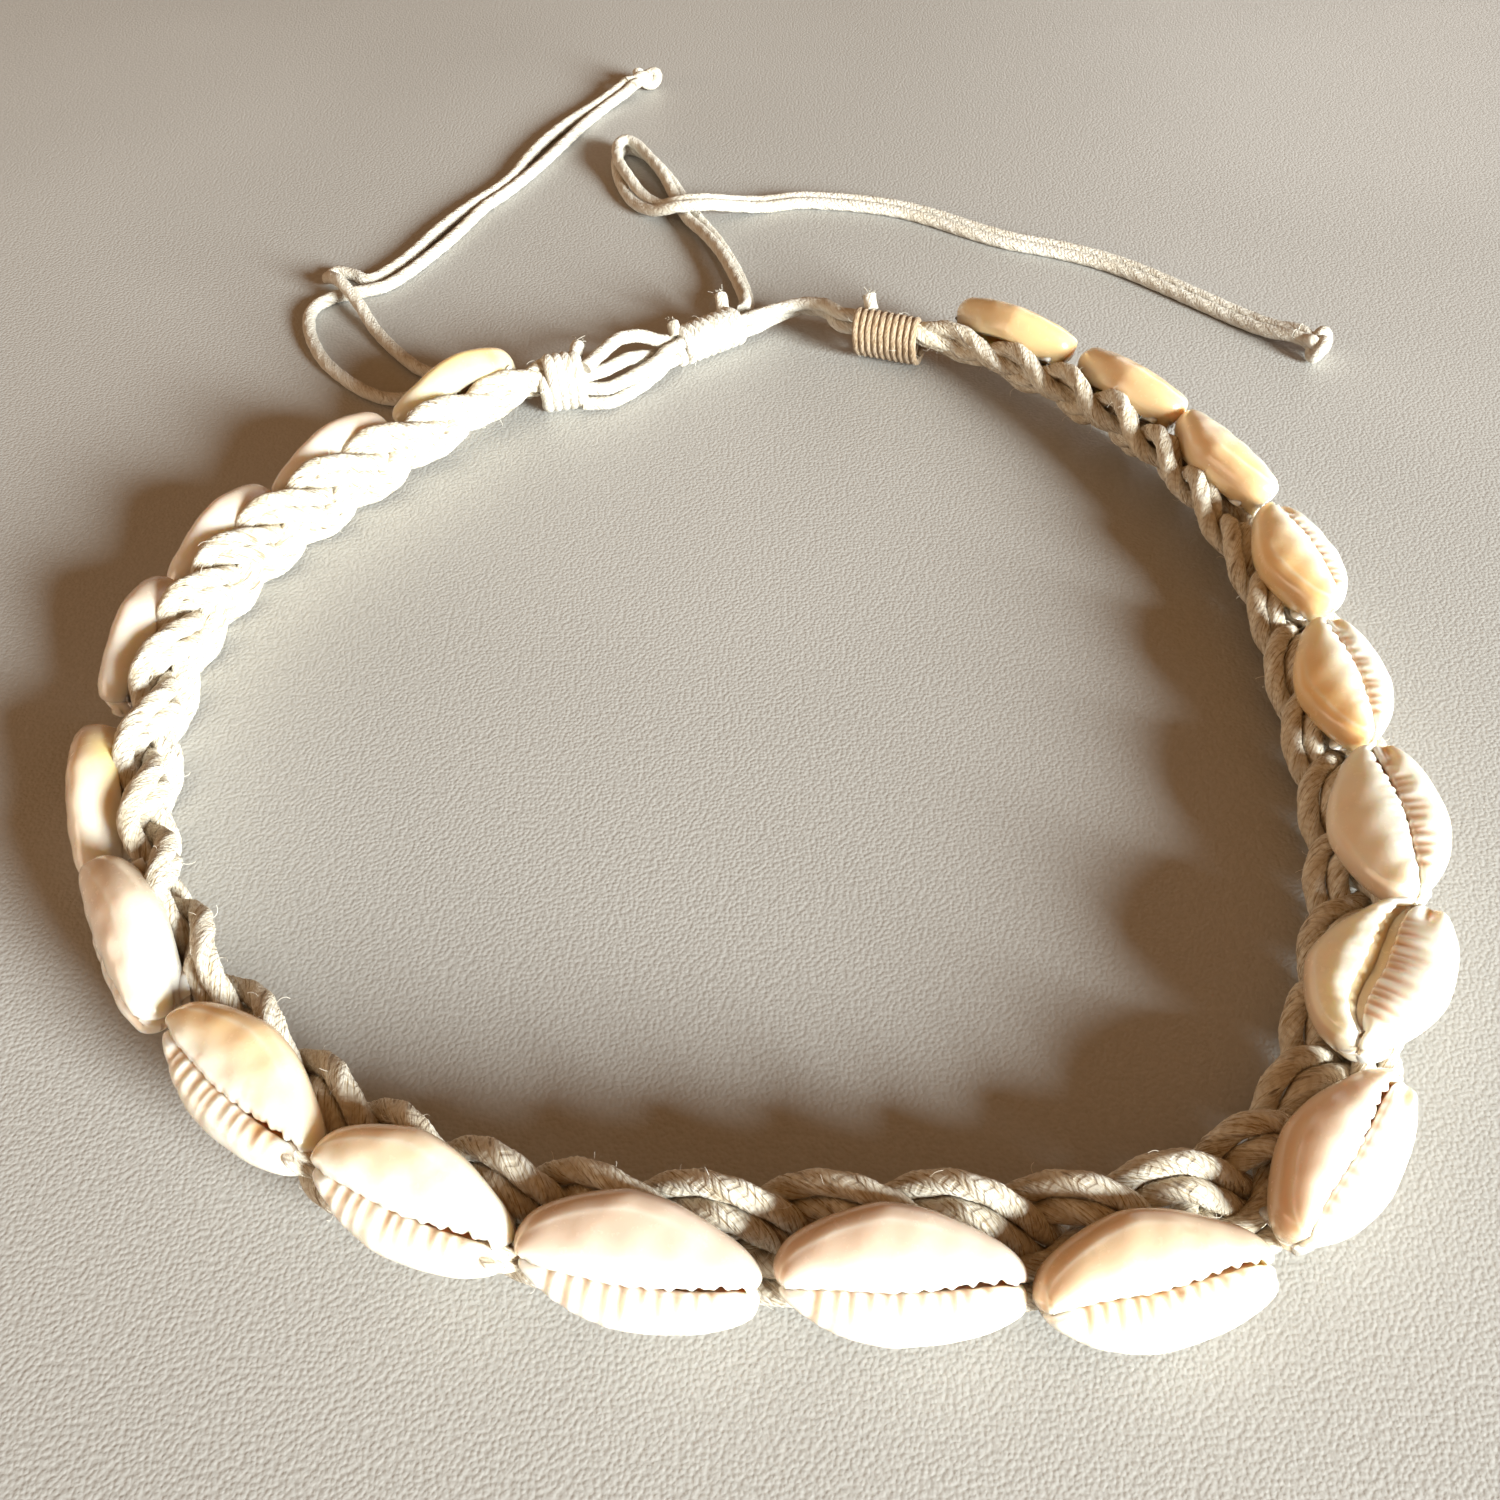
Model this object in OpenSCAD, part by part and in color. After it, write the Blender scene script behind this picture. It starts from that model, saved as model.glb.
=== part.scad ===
// Shell choker: cut-back cowries along a flat plait, lying on a surface.
// The origin is on the surface, under the middle of the closed loop. The front is at -Y.

/* [Shells] */
// Height of the toothed face above the widest line, in mm
face_height = 2.5; // [2.2:0.1:3.2]
// Depth kept behind the widest line, where the back is cut off, in mm
back_depth = 2.7; // [2:0.1:3.2]
// Thickness of the shell wall, in mm
shell_wall = 1; // [0.7:0.1:1.2]

/* [Plait] */
// Width of the flat plait, in mm
plait_width = 9.4; // [8.6:0.1:9.8]
// Thickness of the flat plait, in mm
plait_thickness = 3.8; // [3:0.1:4]
// Depth of the scallops along both edges of the plait, in mm
scallop_depth = 0.7; // [0:0.1:0.9]

/* [Closure] */
// Diameter of the waxed cord, in mm
cord_d = 1.6; // [1.2:0.1:1.6]
// Width of the bindings round the ends of the plait, in mm
binding_width = 8.4; // [8:0.1:9]
// Thickness of the bindings, in mm
binding_thickness = 5.4; // [5:0.1:5.8]
// Diameter of the sliding knot, in mm
slide_knot_d = 5.2; // [5:0.1:5.6]
// Size of the knots at the loose ends, in mm
end_knot_d = 4.8; // [4:0.1:5.2]

/* [Hidden] */
// Gap between a shell and the plait behind it
sewn_gap = 0.4;
// Gap between two pieces that meet
face_gap = 0.1;
// Distance from the middle of the plait to the widest line of a shell
stand_off = plait_thickness / 2 + sewn_gap + back_depth;

shell_colour = "#f3e6cf";
plait_colour = "#d8ccb0";
cord_colour = "#ddd2ba";
shell_steps = 20;
plait_steps = 12;
cord_sides = 8;
// Scallops of one edge for each shell
scallops = 2;
// Length of plait between two of its rings
plait_ring = 2.2;

// Columns of the shell table. Heading is the way the beak points, seen from above. Roll is the
// angle at which the toothed face looks up: 0 stands on edge, 90 lies face up. Shift is how far
// the middle of the plait lies to the upper or inner side of the middle of the shell. Slit place
// is how far the slit lies towards the lower or outer lip, as a share of the width.
X = 0;
Y = 1;
HEADING = 2;
ROLL = 3;
LENGTH = 4;
WIDTH = 5;
GAP = 6;
SHIFT = 7;
SLIT = 8;
SHELLS = [
    // x, y, heading, roll, length, width, slit gap, shift of the plait, slit place
    [-34.7, 44.3, -136, 5, 17.0, 9.2, 0.7, 0, 0.11],
    [-46.7, 30.8, -127, 4, 16.4, 9.0, 0.7, 0, 0.11],
    [-55.7, 17.1, -114, 3, 16.0, 9.0, 0.7, 0, 0.11],
    [-60.1, 1.6, -94, 0, 16.4, 9.2, 0.7, 0, 0.11],
    [-58.0, -19.2, -73, 0, 17.2, 9.4, 0.7, 0, 0.11],
    [-49.6, -35.8, -58, 22, 17.2, 8.2, 0.7, -1.4, 0.11],
    [-37.2, -48.6, -38, 60, 17.2, 8.8, 0.7, -0.5, 0.11],
    [-23.1, -57.6, -22, 53, 16.2, 9.0, 0.7, -0.6, 0.09],
    [-7.0, -62.0, -7, 47, 17.4, 9.6, 0.7, 0.2, 0.11],
    [11.1, -62.7, 2, 52, 17.6, 9.7, 0.7, 1.1, 0.07],
    [28.7, -62.8, 14, 59, 17.4, 9.6, 0.7, 2.2, 0.05],
    [43.9, -54.0, 52, 75, 17.0, 8.6, 0.7, 1.3, 0.03],
    [51.0, -38.8, 57, 101, 15.8, 10.8, 2.0, 1.1, -0.04],
    [56.2, -23.4, 90, 100, 16.4, 10.1, 0.7, 1.2, 0.11],
    [57.2, -6.0, 94, 91, 15.8, 8.9, 0.7, 0.2, 0.11],
    [57.5, 11.6, 102, 79, 16.2, 9.0, 0.7, -0.2, 0.11],
    [53.8, 28.6, 115, 56, 16.4, 9.0, 0.7, 0, 0.11],
    [45.9, 42.6, 128, 38, 16.0, 8.8, 0.7, 0, 0.11],
    [33.8, 54.8, 140, 33, 17.0, 9.2, 0.7, 0, 0.11]
];

// Section of the shell wall. Out is the share of the way from the slit to the outline, inset is
// how far inside the outline that outline is taken, crown is the share of the face's height, and
// drop is a step down, in mm.
OUT = 0;
INSET = 1;
CROWN = 2;
DROP = 3;
SECTION = [
    // out, inset, crown, drop
    [1, 0.6, 0, back_depth],
    [1, 0, 0, 0],
    [0.9, 0, 0.62, 0],
    [0.6, 0, 0.94, 0],
    [0.12, 0, 1, 0],
    [0, 0, 1, 1.1],
    [0.8, shell_wall, 0.55, 1],
    [1, shell_wall + 0.6, 0, back_depth]
];
// Rows of the section that lie on the outside
OUTSIDE = 4;
// Half length of the slit as a share of the shell's length
slit_share = 0.42;
// Height of the face at the two ends as a share of its height in the middle
end_share = 0.42;
// How much the upper lip narrows towards the beak, and the lower lip away from it
beak_share = 0.15;
// How full the outline of the upper lip is, and of the lower lip in the middle
upper_power = 1.15;
lower_power = 1.04;
// How much fuller the lower lip is at the beak end, and leaner at the other
lower_skew = 0.42;

// Left binding and right binding: x, y and roll of the end against the plait and of the end
// towards the closure.
LEFT_BINDING = [[-25.2, 46.2, 14], [-18.6, 47.8, 16]];
RIGHT_BINDING = [[23.0, 56.9, 35], [13.9, 59.9, 35]];
// The left binding also holds the loose pair of cords, on the outside of the plait
left_shift = 0.9;
left_turns = 4;
right_turns = 5;

// Sliding knot: the ends of its axis
SLIDE_KNOT = [[-9.2, 57.0, 2.7], [0.0, 63.6, 2.7]];
slide_turns = 7;

// Routes of the cords in the closure: x, y, z
EYE_A = [
    [-18.1, 47.9, 7.1],
    [-17.4, 49.0, 7.2],
    [-15.4, 54.0, 6.2],
    [-12.8, 56.2, 5.2],
    [-11.0, 56.8, 4.2],
    [-10.0, 57.5, 3.7]
];
EYE_B = [
    [-18.4, 47.9, 5.2],
    [-17.0, 49.0, 5.0],
    [-14.4, 53.3, 3.8],
    [-12.4, 55.5, 2.7],
    [-11.0, 56.8, 2.0],
    [-9.9, 57.6, 1.9]
];
EYE_C = [
    [-18.4, 47.8, 3.2],
    [-16.6, 48.5, 2.9],
    [-13.6, 51.4, 2.8],
    [-11.0, 53.7, 3.2],
    [-9.8, 55.3, 3.5],
    [-8.8, 56.2, 3.6]
];
EYE_D = [
    [-18.4, 47.5, 1.2],
    [-16.2, 48.0, 0.9],
    [-13.4, 50.6, 0.9],
    [-11.0, 53.2, 1.4],
    [-9.8, 55.1, 1.8],
    [-8.9, 56.1, 1.8]
];

// Routes of cords that run in pairs. Half is half the distance between the two cords, and tilt
// turns the second cord from beside the first, at 0, to under it, at 90.
HALF = 3;
TILT = 4;
BRIDGE = [
    // x, y, z, half, tilt
    [0.6, 63.0, 2.7, 0.88, 90],
    [2.1, 64.0, 2.7, 0.88, 95],
    [4.4, 65.5, 2.8, 0.88, 115],
    [7.6, 66.5, 3.2, 0.88, 130],
    [10.6, 65.0, 3.8, 0.88, 120],
    [11.7, 62.5, 4.3, 0.88, 100],
    [12.6, 61.1, 4.5, 0.88, 90],
    [13.7, 60.6, 4.6, 0.88, 90]
];
LEFT_TAIL_A_START = [
    // x, y, z
    [-26.5, 48.8, 1.9],
    [-27.4, 50.0, 1.4],
    [-29.3, 52.5, 0.8],
    [-32.9, 55.3, 0.8],
    [-37.2, 54.2, 0.8],
    [-40.8, 55.0, 0.8],
    [-44.8, 59.2, 0.8],
    [-48.6, 64.4, 0.9],
    [-51.6, 69.2, 2.1],
    [-54.2, 72.6, 2.9],
    [-56.2, 75.2, 2.3],
    [-57.4, 77.4, 0.9],
    [-56.4, 79.2, 0.8],
    [-54.0, 78.4, 0.8]
];
LEFT_TAIL_B_START = [
    // x, y, z
    [-26.3, 48.8, 3.7],
    [-27.4, 49.3, 3.2],
    [-29.2, 50.5, 2.3],
    [-32.4, 52.5, 0.9],
    [-36.2, 52.0, 0.8],
    [-40.2, 49.8, 0.8],
    [-43.6, 48.8, 0.8],
    [-47.0, 50.2, 0.8],
    [-50.8, 53.5, 0.8],
    [-54.4, 58.0, 0.8],
    [-57.2, 64.0, 0.8],
    [-58.0, 69.0, 0.8],
    [-56.4, 72.0, 0.8],
    [-53.6, 73.6, 0.8]
];
LEFT_PAIR = [
    // x, y, z, half, tilt
    [-50.5, 76.2, 0.8, 1.4, 0],
    [-47.8, 79.6, 0.8, 1.3, 0],
    [-45.6, 83.8, 0.8, 1.3, 0],
    [-43.6, 88.4, 0.8, 1.5, 0],
    [-41.6, 93.0, 0.8, 1.4, 0],
    [-39.2, 98.0, 0.8, 1.0, 0],
    [-36.5, 102.3, 0.8, 0.9, 0],
    [-34.2, 107.0, 0.8, 1.0, 0],
    [-32.1, 112.9, 0.8, 1.5, 0],
    [-29.7, 119.1, 0.8, 1.6, 0],
    [-27.0, 125.0, 0.8, 1.3, 0],
    [-23.7, 130.9, 0.8, 0.9, 0],
    [-20.4, 135.4, 1.4, 0.9, 0],
    [-19.1, 136.6, 2.1, 0.9, 0]
];
RIGHT_PAIR = [
    // x, y, z, half, tilt
    [-0.1, 64.8, 2.7, 0.88, 90],
    [0.2, 66.0, 2.7, 0.88, 85],
    [0.3, 68.2, 2.5, 0.88, 75],
    [0.0, 71.8, 1.8, 0.88, 60],
    [-1.0, 76.8, 1.5, 0.88, 50],
    [-2.7, 82.5, 1.5, 0.88, 45],
    [-5.0, 88.4, 1.3, 0.88, 30],
    [-7.6, 93.8, 1.1, 0.88, 15],
    [-9.6, 99.2, 1.3, 0.88, 30],
    [-11.7, 105.2, 1.5, 0.88, 45],
    [-14.1, 110.6, 1.5, 0.88, 50],
    [-16.2, 114.2, 1.6, 0.88, 60],
    [-18.3, 115.5, 1.7, 0.88, 75],
    [-19.6, 113.6, 1.7, 0.88, 85],
    [-19.4, 108.8, 1.7, 0.88, 80],
    [-17.8, 103.6, 1.5, 0.88, 50],
    [-15.7, 99.2, 1.2, 0.88, 25],
    [-12.8, 95.8, 1.6, 0.88, 5],
    [-9.6, 94.2, 3, 0.88, 0],
    [-5.6, 94.8, 3, 0.88, 0],
    [-1.4, 97.0, 1.6, 0.88, 0],
    [3.0, 98.4, 0.8, 0.88, 0],
    [8.2, 99.6, 0.8, 0.88, 0],
    [13.6, 99.2, 0.8, 0.88, 0],
    [18.8, 98.2, 0.8, 0.88, 0],
    [23.6, 96.6, 0.8, 0.88, 0],
    [28.2, 94.0, 0.8, 0.88, 0],
    [32.8, 90.8, 0.8, 0.88, 0],
    [37.8, 87.8, 0.8, 0.88, 0],
    [43.2, 85.8, 0.8, 0.88, 0],
    [48.4, 83.4, 0.8, 0.88, 0],
    [53.0, 80.4, 0.8, 0.88, 0],
    [57.4, 76.4, 0.8, 0.88, 0],
    [61.6, 72.2, 0.8, 0.88, 0],
    [65.8, 68.0, 0.8, 0.88, 0],
    [69.2, 64.4, 1.2, 0.88, 0],
    [72.1, 61.9, 2.0, 0.88, 0]
];
// Knots at the loose ends: x, y, z of the middle, and the way that the knot lies
LEFT_END_KNOT = [-16.8, 139.5, 2.4];
left_knot_heading = 20;
RIGHT_END_KNOT = [74.2, 59.8, 2.4];
right_knot_heading = 60;

// Humps of a knot, as shares of its size: how far along it, and its radius there
AHEAD = 0;
RADIUS = 1;
KNOT = [
    // ahead, radius
    [-0.72, 0.12],
    [-0.66, 0.26],
    [-0.54, 0.38],
    [-0.40, 0.43],
    [-0.26, 0.42],
    [-0.14, 0.47],
    [0, 0.5],
    [0.14, 0.48],
    [0.26, 0.43],
    [0.42, 0.45],
    [0.56, 0.39],
    [0.68, 0.27],
    [0.74, 0.13]
];

function shell_name(i) = str("shell_", i < 10 ? "0" : "", i);

// Frame of a piece that heads along h and whose face is rolled up by e
function along(h) = [cos(h), sin(h), 0];
function outward(h) = [sin(h), -cos(h), 0];
function facing(h, e) = cos(e) * outward(h) + [0, 0, sin(e)];
function upward(h, e) = -sin(e) * outward(h) + [0, 0, cos(e)];

// Point on the outline of a shell at an angle from its beak: along it and across it
function outline(a, long, wide) =
    let (upper = sin(a) > 0)
    let (power = upper ? upper_power : lower_power - lower_skew * cos(a))
    let (taper = 1 - (upper ? beak_share : -beak_share) * cos(a))
    [long / 2 * cos(a), wide / 2 * sign(sin(a)) * pow(abs(sin(a)), power) * taper];
function slit_edge(a, s) =
    [slit_share * s[LENGTH] * cos(a), s[GAP] / 2 * sin(a) - s[SLIT] * s[WIDTH]];
function crown(a) = face_height * (end_share + (1 - end_share) * pow(abs(sin(a)), 0.8));

// One point of the shell wall: along, across and outward
function wall_point(s, a, row) =
    let (inset = 2 * row[INSET])
    let (edge = outline(a, s[LENGTH] - inset, s[WIDTH] - inset))
    let (slit = slit_edge(a, s))
    let (flat = slit + (edge - slit) * row[OUT])
    [flat[0], flat[1], row[CROWN] * crown(a) - row[DROP]];

function shell_angles() = [for (i = [0:shell_steps - 1]) (i + 0.5) * 360 / shell_steps];

// How far the shell and the plait reach below their own middle at a roll
function shell_reach(s) = -min([
    for (a = shell_angles())
        for (r = [0:OUTSIDE])
            let (p = wall_point(s, a, SECTION[r]))
            p[1] * cos(s[ROLL]) + p[2] * sin(s[ROLL])
]);
function oval_reach(wide, thick, e) = norm([wide / 2 * cos(e), thick / 2 * sin(e)]);
function plait_reach(e) = oval_reach(plait_width, plait_thickness, e);

// Middle of a shell's widest line, as high as it lies with the plait sewn behind it
function plait_drop(s) = stand_off * sin(s[ROLL]) - s[SHIFT] * cos(s[ROLL]);
function shell_middle(s) =
    [s[X], s[Y], max(shell_reach(s), plait_reach(s[ROLL]) + plait_drop(s))];

// Stations of the plait: its middle, its roll, and its place counted in shells
function shell_station(i) =
    let (s = SHELLS[i])
    let (behind = stand_off * facing(s[HEADING], s[ROLL]))
    [shell_middle(s) - behind + s[SHIFT] * upward(s[HEADING], s[ROLL]), s[ROLL], i];
function end_station(end, place) =
    [[end[X], end[Y], oval_reach(binding_width, binding_thickness, end[2])], end[2], place];
STATIONS = concat(
    [end_station(LEFT_BINDING[1], -1), end_station(LEFT_BINDING[0], -0.5)],
    [for (i = [0:len(SHELLS) - 1]) shell_station(i)],
    [
        end_station(RIGHT_BINDING[0], len(SHELLS) - 0.5),
        end_station(RIGHT_BINDING[1], len(SHELLS))
    ]
);

// Run from one station to the next
function run(i) = STATIONS[i + 1][0] - STATIONS[i][0];

// Point on a smooth curve between b and c, with a before and d after them
function between(a, b, c, d, t) =
    b + ((c - a) + ((2 * a - 5 * b + 4 * c - d) + (3 * b - a - 3 * c + d) * t) * t) * t / 2;
function curve(p, i, t) =
    between(p[max(i - 1, 0)], p[i], p[i + 1], p[min(i + 2, len(p) - 1)], t);
function smooth(p, steps) = concat(
    [for (i = [0:len(p) - 2]) for (j = [0:steps - 1]) curve(p, i, j / steps)],
    [p[len(p) - 1]]
);
// Direction of a row of points at one of them
function direction(p, i) =
    let (d = p[min(i + 1, len(p) - 1)] - p[max(i - 1, 0)])
    d / norm(d);

// The two cords of a pair, side = 1 for the first and -1 for the second
function pair_cord(route, side) = [
    for (i = [0:len(route) - 1])
        let (row = route[i])
        let (d = direction([for (r = route) [r[0], r[1], 0]], i))
        let (across = cos(row[TILT]) * [-d[1], d[0], 0] + [0, 0, sin(row[TILT])])
        [row[0], row[1], row[2]] + side * row[HALF] * across
];

// Closed solid through rings with equal numbers of points
module skin(rings) {
    n = len(rings[0]);
    last = len(rings) - 1;
    sides = [
        for (i = [0:last - 1])
            for (j = [0:n - 1])
                let (k = (j + 1) % n)
                each [
                    [i * n + j, (i + 1) * n + k, i * n + k],
                    [i * n + j, (i + 1) * n + j, (i + 1) * n + k]
                ]
    ];
    caps = [[for (j = [0:n - 1]) j], [for (j = [n - 1:-1:0]) last * n + j]];
    polyhedron([for (r = rings) each r], concat(sides, caps));
}

// Closed ring-shaped solid: the last section joins the first
module ring_skin(rings) {
    n = len(rings[0]);
    m = len(rings);
    sides = [
        for (i = [0:m - 1])
            for (j = [0:n - 1])
                let (k = (j + 1) % n, next = (i + 1) % m)
                each [
                    [i * n + j, i * n + k, next * n + k],
                    [i * n + j, next * n + k, next * n + j]
                ]
    ];
    polyhedron([for (r = rings) each r], sides);
}

// Round ring about a point, square to a direction
function round_ring(p, d, radius, sides) =
    let (side = cross([0, 0, 1], d) / norm(cross([0, 0, 1], d)))
    let (over = cross(d, side))
    [
        for (k = [0:sides - 1])
            let (a = k * 360 / sides)
            p + radius * (cos(a) * side + sin(a) * over)
    ];

// Round cord along a route of points
module cord(route, steps = 2) {
    p = smooth(route, steps);
    skin([for (i = [0:len(p) - 1]) round_ring(p[i], direction(p, i), cord_d / 2, cord_sides)]);
}

// One cowrie: a ring of wall sections round its slit, open at the cut back
module shell(i) {
    s = SHELLS[i - 1];
    middle = shell_middle(s);
    t = along(s[HEADING]);
    u = upward(s[HEADING], s[ROLL]);
    n = facing(s[HEADING], s[ROLL]);
    color(shell_colour)
        ring_skin([
            for (a = shell_angles())
                [for (row = SECTION) let (p = wall_point(s, a, row)) middle + p[0] * t + p[1] * u + p[2] * n]
        ]);
}

// Ring of the plait, with the scallops of its two edges half a step apart
function plait_section(middle, heading, e, place) =
    let (u = upward(heading, e), n = facing(heading, e))
    let (raised = [middle[0], middle[1], max(middle[2], plait_reach(e))])
    [
        for (k = [0:plait_steps - 1])
            let (a = k * 360 / plait_steps)
            let (phase = place * scallops * 360 + (cos(a) > 0 ? 180 : 0))
            let (half = plait_width / 2 - scallop_depth * (1 - cos(phase)) / 2)
            raised + half * cos(a) * u + plait_thickness / 2 * sin(a) * n
    ];

// The flat plait between the two bindings
module plait() {
    middles = [for (s = STATIONS) s[0]];
    rolls = [for (s = STATIONS) s[1]];
    first = 1;
    last = len(STATIONS) - 2;
    rows = [
        for (i = [first:last - 1])
            let (steps = round(norm(middles[i + 1] - middles[i]) / plait_ring))
            for (j = [0:steps - (i == last - 1 ? 0 : 1)])
                let (t = j / steps)
                [
                    curve(middles, i, t),
                    curve(rolls, i, t),
                    STATIONS[i][2] + (STATIONS[i + 1][2] - STATIONS[i][2]) * t
                ]
    ];
    path = [for (r = rows) r[0]];
    color(plait_colour)
        skin([
            for (i = [0:len(rows) - 1])
                let (d = i == 0 ? run(0) : i == len(rows) - 1 ? run(last) : direction(path, i))
                plait_section(path[i], atan2(d[1], d[0]), rows[i][1], rows[i][2])
        ]);
}

// Cord wound round something: a ribbed oval bar from one end to the other
module wound(start, end, e, wide, thick, turns) {
    steps = 3;
    sides = 16;
    d = (end - start) / norm(end - start);
    h = atan2(d[1], d[0]);
    color(cord_colour)
        skin([
            for (i = [0:turns * steps])
                let (groove = i % steps == 0 ? 0.35 : 0)
                let (p = start + (end - start) * i / (turns * steps))
                [
                    for (k = [0:sides - 1])
                        let (a = k * 360 / sides)
                        p + (wide / 2 - groove) * cos(a) * upward(h, e)
                          + (thick / 2 - groove) * sin(a) * facing(h, e)
                ]
        ]);
}

module left_binding() {
    plait_end = STATIONS[1][0];
    open_end = STATIONS[0][0];
    d = (plait_end - open_end) / norm(plait_end - open_end);
    shift = left_shift * outward(atan2(d[1], d[0]));
    wound(
        open_end + shift, plait_end + shift - face_gap * d,
        STATIONS[1][1], binding_width, binding_thickness, left_turns
    );
}

module right_binding() {
    plait_end = STATIONS[len(STATIONS) - 2][0];
    open_end = STATIONS[len(STATIONS) - 1][0];
    d = (open_end - plait_end) / norm(open_end - plait_end);
    wound(
        plait_end + face_gap * d, open_end,
        RIGHT_BINDING[0][2], binding_width, binding_thickness, right_turns
    );
}

module slide_knot() {
    wound(SLIDE_KNOT[0], SLIDE_KNOT[1], 0, slide_knot_d, slide_knot_d, slide_turns);
}

module eye_cord_a() { color(cord_colour) cord(EYE_A); }
module eye_cord_b() { color(cord_colour) cord(EYE_B); }
module eye_cord_c() { color(cord_colour) cord(EYE_C); }
module eye_cord_d() { color(cord_colour) cord(EYE_D); }
module bridge_cord_a() { color(cord_colour) cord(pair_cord(BRIDGE, 1)); }
module bridge_cord_b() { color(cord_colour) cord(pair_cord(BRIDGE, -1)); }

// The loose ends
module left_tail_a() { color(cord_colour) cord(concat(LEFT_TAIL_A_START, pair_cord(LEFT_PAIR, 1)), 1); }
module left_tail_b() { color(cord_colour) cord(concat(LEFT_TAIL_B_START, pair_cord(LEFT_PAIR, -1)), 1); }
module right_tail_a() { color(cord_colour) cord(pair_cord(RIGHT_PAIR, 1), 1); }
module right_tail_b() { color(cord_colour) cord(pair_cord(RIGHT_PAIR, -1), 1); }

// Knot tied with both cords of a pair: a short bar with three rounded humps
module end_knot(middle, heading) {
    sides = 14;
    color(cord_colour)
        skin([
            for (row = KNOT)
                round_ring(
                    middle + row[AHEAD] * end_knot_d * along(heading),
                    along(heading), row[RADIUS] * end_knot_d, sides
                )
        ]);
}

module left_end_knot() { end_knot(LEFT_END_KNOT, left_knot_heading); }
module right_end_knot() { end_knot(RIGHT_END_KNOT, right_knot_heading); }

for (i = [1:len(SHELLS)]) {
    shell(i);
}
plait();
left_binding();
right_binding();
slide_knot();
eye_cord_a();
eye_cord_b();
eye_cord_c();
eye_cord_d();
bridge_cord_a();
bridge_cord_b();
left_tail_a();
left_tail_b();
left_end_knot();
right_tail_a();
right_tail_b();
right_end_knot();
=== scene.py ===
import math
import bpy
import numpy as np
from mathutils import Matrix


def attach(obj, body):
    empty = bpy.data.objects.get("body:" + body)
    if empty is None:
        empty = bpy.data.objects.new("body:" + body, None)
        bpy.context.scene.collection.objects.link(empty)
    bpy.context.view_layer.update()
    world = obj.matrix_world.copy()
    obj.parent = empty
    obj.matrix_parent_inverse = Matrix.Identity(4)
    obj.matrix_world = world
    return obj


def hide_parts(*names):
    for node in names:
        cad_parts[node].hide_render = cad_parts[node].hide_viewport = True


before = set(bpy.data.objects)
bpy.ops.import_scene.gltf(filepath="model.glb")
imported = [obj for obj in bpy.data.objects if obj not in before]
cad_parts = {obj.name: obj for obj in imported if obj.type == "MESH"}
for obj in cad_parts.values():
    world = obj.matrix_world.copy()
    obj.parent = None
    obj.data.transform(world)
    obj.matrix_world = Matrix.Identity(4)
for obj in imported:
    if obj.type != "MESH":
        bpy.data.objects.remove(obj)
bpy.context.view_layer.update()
mm = 0.001


def note(text):
    print("choker: " + text)


# Camera, at the photograph's angle

cameraSet = {"place": (0.8, -99.5, 102.6), "down": 48.5, "lens": 33.6, "sensor": 36, "near": 2.0}


def makeCamera(s):
    data = bpy.data.cameras.new("camera")
    data.lens = s["lens"]
    data.sensor_width = s["sensor"]
    data.clip_start = s["near"] * mm
    camera = bpy.data.objects.new("camera", data)
    camera.location = [v * mm for v in s["place"]]
    camera.rotation_euler = (math.radians(90 - s["down"]), 0, 0)
    bpy.context.scene.collection.objects.link(camera)
    bpy.context.scene.camera = camera


makeCamera(cameraSet)
note("camera")


# Small maths on rows of points, all in millimetres

def smoothLine(points, steps):
    # the same curve through its points that the solids follow
    p = np.array(points, dtype=float)
    out = []
    for i in range(len(p) - 1):
        a, b, c, d = p[max(i - 1, 0)], p[i], p[i + 1], p[min(i + 2, len(p) - 1)]
        for j in range(steps):
            t = j / steps
            bend = (2 * a - 5 * b + 4 * c - d) + (3 * b - a - 3 * c + d) * t
            out.append(b + ((c - a) + bend * t) * t / 2)
    out.append(p[-1])
    return np.array(out)


def travelled(p):
    return np.concatenate([[0], np.cumsum(np.linalg.norm(np.diff(p, axis=0), axis=1))])


def evenLine(p, count):
    # the same line with its points evenly spaced
    d = travelled(p)
    s = np.linspace(0, d[-1], count)
    return np.stack([np.interp(s, d, p[:, k]) for k in range(p.shape[1])], axis=1)


def directions(p):
    d = np.gradient(p, axis=0)
    return d / np.linalg.norm(d, axis=1)[:, None]


def longer(p, before, after):
    # a line drawn out straight at its ends
    a = (p[0] - p[1]) / np.linalg.norm(p[0] - p[1])
    b = (p[-1] - p[-2]) / np.linalg.norm(p[-1] - p[-2])
    return np.concatenate([[p[0] + before * a], p, [p[-1] + after * b]])


def pairLines(rows, half=None):
    # two cords side by side: x, y, z, then the tilt if the half distance is given, or else that
    r = np.array(rows, dtype=float)
    points = r[:, :3]
    d = np.zeros((len(r), 3))
    for i in range(len(r)):
        d[i, :2] = r[min(i + 1, len(r) - 1), :2] - r[max(i - 1, 0), :2]
        d[i] /= np.linalg.norm(d[i])
    tilt = np.radians(r[:, 3:4]) if half else np.zeros((len(r), 1))
    half = half or r[:, 3:4]
    level = np.stack([-d[:, 1], d[:, 0], 0 * d[:, 0]], axis=1)
    across = np.cos(tilt) * level + np.sin(tilt) * np.array([0, 0, 1.0])
    return points + half * across, points - half * across


def along(h):
    return np.array([math.cos(h), math.sin(h), 0.0])


def outward(h):
    return np.array([math.sin(h), -math.cos(h), 0.0])


def facing(h, e):
    return math.cos(e) * outward(h) + np.array([0, 0, math.sin(e)])


def upward(h, e):
    return -math.sin(e) * outward(h) + np.array([0, 0, math.cos(e)])


# Objects from plain numbers

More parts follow.
